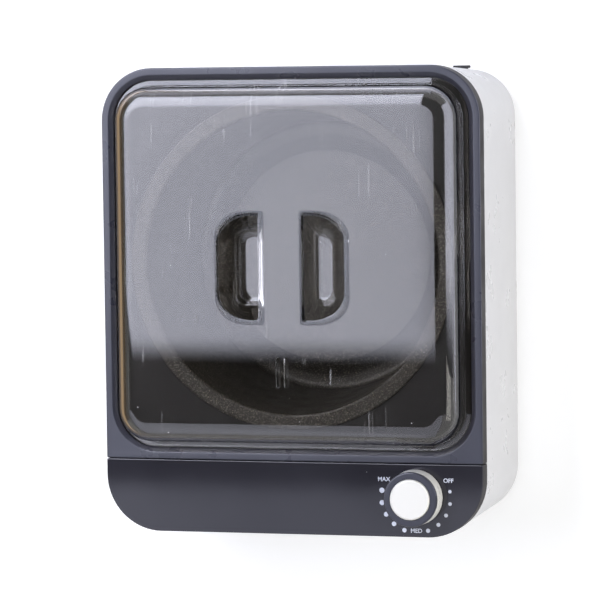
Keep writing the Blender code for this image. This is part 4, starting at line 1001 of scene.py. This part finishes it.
def make_print():
    """The scale printed round the knob: dots that grow from low to high heat, and three plain words."""
    low = face_height
    for index, turn in enumerate(dot_turns):
        angle = math.radians(turn)
        place = (knob_x + dot_ring_radius * math.cos(angle), knob_y + dot_ring_radius * math.sin(angle))
        radius = dot_small_radius + dot_growth * index
        dot = bore(f"scale_dot_{index + 1}", place, radius, low, low + print_height, middle_round)
        dot.data.materials.append(looks["ink"])
        dressed(dot, "base", "white_plastic")
    for word, x, y in words:
        curve = bpy.data.curves.new(f"scale_word_{word}", "FONT")
        curve.body = word
        curve.size = letter_height
        curve.align_x = "CENTER"
        curve.align_y = "CENTER"
        curve.extrude = print_height / 2
        curve.offset = letter_weight
        curve.materials.append(looks["ink"])
        text = bpy.data.objects.new(f"scale_word_{word}", curve)
        bpy.context.scene.collection.objects.link(text)
        text.location = (x, y, low + print_height / 2)
        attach(text, "base")


make_housing()
make_frame()
make_panel()
make_deck()
make_pot()
make_lid()
make_knob()
make_gland()
make_feet()
make_long_screws()
make_print()

node_looks = {
    "white": ("bottom_plate",),
    "aluminium": ("heating_well",),
    "silicone": ("well_seal",),
    "felt": ("well_insulation",),
    "steel": ("heating_element", "element_clamp", "clamp_nut", "bulb_saddle", "fuse_saddle",
              "thermostat_shaft", "well_screw_1", "well_screw_2", "well_screw_3", "thermostat_screw_1",
              "thermostat_screw_2"),
    "copper": ("sensor_bulb", "capillary_tube"),
    "ceramic": ("element_pin_left", "element_pin_right", "thermal_fuse", "terminal_block"),
    "brass": ("terminal_screw_left", "terminal_screw_right"),
    "phenolic": ("thermostat_body", "gland_nut"),
    "red": ("live_wire", "switched_wire", "fuse_wire"),
    "blue": ("neutral_wire",),
}
for look, nodes in node_looks.items():
    for node in nodes:
        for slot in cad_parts[node].material_slots:
            slot.material = looks[look]


# Floor, world, lamps and camera

def node_material(name):
    material = bpy.data.materials.new(name)
    material.use_nodes = True
    material.node_tree.nodes.clear()
    return material, material.node_tree


def matt_material(name, grey):
    material, tree = node_material(name)
    output = tree.nodes.new("ShaderNodeOutputMaterial")
    matt = tree.nodes.new("ShaderNodeBsdfDiffuse")
    matt.inputs["Color"].default_value = (grey, grey, grey, 1)
    tree.links.new(matt.outputs["BSDF"], output.inputs["Surface"])
    return material, tree, output, matt


def seen_ray(tree):
    """1 for rays that show the surroundings: straight from the camera, in gloss or through clear pieces."""
    path = tree.nodes.new("ShaderNodeLightPath")
    total = path.outputs["Is Camera Ray"]
    for name in ("Is Glossy Ray", "Is Transmission Ray"):
        total = combined(tree, "MAXIMUM", total, path.outputs[name])
    return total


def make_world():
    world = bpy.data.worlds.new("studio")
    bpy.context.scene.world = world
    world.use_nodes = True
    tree = world.node_tree
    tree.nodes.clear()
    output = tree.nodes.new("ShaderNodeOutputWorld")
    background = tree.nodes.new("ShaderNodeBackground")
    strength = mapped(tree, seen_ray(tree), (0, 1), (world_light, 1))
    tree.links.new(strength, background.inputs["Strength"])
    tree.links.new(background.outputs["Background"], output.inputs["Surface"])


def sheet_mesh(name, corners, z):
    mesh = bpy.data.meshes.new(name)
    (x0, y0), (x1, y1) = corners
    mesh.from_pydata([(x0, y0, z), (x1, y0, z), (x1, y1, z), (x0, y1, z)], [], [(0, 1, 2, 3)])
    thing = bpy.data.objects.new(name, mesh)
    bpy.context.scene.collection.objects.link(thing)
    return thing


def make_floor():
    """A white floor that shows the object's shadow softly."""
    floor = sheet_mesh("floor", floor_corners, floor_z)
    material, tree, output, matt = matt_material("floor_white", floor_grey)
    glow = tree.nodes.new("ShaderNodeEmission")
    strength = tree.nodes.new("ShaderNodeMath")
    strength.operation = "MULTIPLY"
    strength.inputs[1].default_value = floor_glow
    tree.links.new(seen_ray(tree), strength.inputs[0])
    tree.links.new(strength.outputs["Value"], glow.inputs["Strength"])
    both = tree.nodes.new("ShaderNodeAddShader")
    tree.links.new(matt.outputs["BSDF"], both.inputs[0])
    tree.links.new(glow.outputs["Emission"], both.inputs[1])
    tree.links.new(both.outputs["Shader"], output.inputs["Surface"])
    floor.data.materials.append(material)


def fade(tree, coordinate, low, high, width):
    """1 between two values of a coordinate, falling softly to 0 outside them."""
    rise = mapped(tree, coordinate, (low, low + width), (0, 1), "SMOOTHSTEP")
    fall = mapped(tree, coordinate, (high, high - width), (0, 1), "SMOOTHSTEP")
    return combined(tree, "MULTIPLY", rise, fall)


def light_sheet(name, corners, z, levels, colour, edges, ramp=None, growth=None):
    """A flat light with soft edges, whose level changes across it and, with growth, along it."""
    sheet = sheet_mesh(name, corners, z)
    (x0, y0), (x1, y1) = corners
    material, tree = node_material(name + "_glow")
    output = tree.nodes.new("ShaderNodeOutputMaterial")
    glow = tree.nodes.new("ShaderNodeEmission")
    glow.inputs["Color"].default_value = (*colour, 1.0)
    place = tree.nodes.new("ShaderNodeTexCoord")
    parts = tree.nodes.new("ShaderNodeSeparateXYZ")
    tree.links.new(place.outputs["Object"], parts.inputs["Vector"])
    total = mapped(tree, parts.outputs["X"], ramp or (x0, x1), levels)
    if growth:
        total = combined(tree, "MULTIPLY", total, mapped(tree, parts.outputs["Y"], *growth))
    total = combined(tree, "MULTIPLY", total, fade(tree, parts.outputs["X"], x0, x1, edges[0]))
    total = combined(tree, "MULTIPLY", total, fade(tree, parts.outputs["Y"], y0, y1, edges[1]))
    tree.links.new(total, glow.inputs["Strength"])
    tree.links.new(glow.outputs["Emission"], output.inputs["Surface"])
    sheet.data.materials.append(material)
    sheet.visible_camera = False
    return sheet


def mirrored(sheet):
    """Show a sheet in gloss only, so that it neither lights nor shades the object."""
    sheet.visible_diffuse = False
    sheet.visible_shadow = False
    return sheet


def stood(sheet, place, turn):
    """Stand a sheet up on its first edge, at a place and turned about Z."""
    sheet.rotation_euler = (math.pi / 2, 0, turn)
    sheet.location = place


def make_softboxes():
    """A soft lamp overhead, its mirror image on the lid, and what the lid's rounded edges mirror."""
    cool, warm, upright = softbox_colour, warm_colour, math.pi / 2
    spread = ((lamp_left, softbox_front), (softbox_right, softbox_rear))
    lamp = light_sheet("softbox", spread, softbox_height + card_lap, lamp_levels, cool, softbox_edges)
    lamp.visible_glossy = False
    spread = ((softbox_left, softbox_front), (softbox_right, softbox_rear))
    mirrored(light_sheet("softbox_image", spread, softbox_height, softbox_levels, cool, softbox_edges,
                         softbox_ramp, softbox_growth))
    mirrored(light_sheet("front_image", front_corners, softbox_height, front_levels, cool, front_edges,
                         front_ramp))
    for name, corners, levels, colour in (("floor_right", floor_right_corners, wall_levels, cool),
                                          ("floor_rear", floor_rear_corners, rear_levels, cool),
                                          ("floor_left", floor_left_corners, warm_levels, warm)):
        mirrored(light_sheet(name, corners, floor_light_height, levels, colour, floor_edges))
    walls = (("wall_right", wall_right_corners, wall_levels, cool, (wall_right_x, 0, 0), upright),
             ("wall_rear", wall_rear_corners, rear_levels, cool, (0, wall_rear_y, 0), 0),
             ("wall_left", wall_left_corners, warm_levels, warm, (wall_left_x, 0, 0), upright))
    for name, corners, levels, colour, place, turn in walls:
        stood(mirrored(light_sheet(name, corners, 0, levels, colour, wall_edges)), place, turn)
    dull = matt_material("dark_card_black", card_grey)[0]
    for name, corners in (("dark_card", card_corners), ("dark_card_right", card_right_corners)):
        card = mirrored(sheet_mesh(name, corners, softbox_height - card_lap))
        card.data.materials.append(dull)
        card.visible_camera = False


def make_lamp(name, place, size, power):
    lamp = bpy.data.lights.new(name, "AREA")
    lamp.shape = "RECTANGLE"
    lamp.size, lamp.size_y = size
    lamp.energy = power
    thing = bpy.data.objects.new(name, lamp)
    thing.location = place
    aim = Vector((0, 0, face_height / 2)) - Vector(place)
    thing.rotation_euler = aim.to_track_quat("-Z", "Y").to_euler()
    thing.visible_glossy = False
    bpy.context.scene.collection.objects.link(thing)


def make_camera():
    """The photograph's camera, from its turn, tilt, roll, aim and distance."""
    turn, tilt, roll = camera_turn, camera_tilt, camera_roll
    back = Vector((math.sin(turn) * math.cos(tilt), math.sin(tilt), math.cos(turn) * math.cos(tilt)))
    right = Vector((0, 1, 0)).cross(back).normalized()
    up = back.cross(right)
    right_rolled = math.cos(roll) * right + math.sin(roll) * up
    up_rolled = math.cos(roll) * up - math.sin(roll) * right
    eye = Vector(camera_aim) + camera_distance * back
    camera = bpy.data.cameras.new("camera")
    camera.sensor_width = camera_sensor
    camera.lens = camera_lens
    camera.clip_start, camera.clip_end = camera_clip
    thing = bpy.data.objects.new("camera", camera)
    bpy.context.scene.collection.objects.link(thing)
    axes = Matrix((right_rolled, up_rolled, back)).transposed().to_4x4()
    thing.matrix_world = Matrix.Translation(eye) @ axes
    bpy.context.scene.camera = thing


make_world()
make_floor()
make_softboxes()
make_lamp("side_fill", fill_place, fill_size, fill_power)
make_camera()
bpy.context.scene.view_settings.view_transform = "Standard"
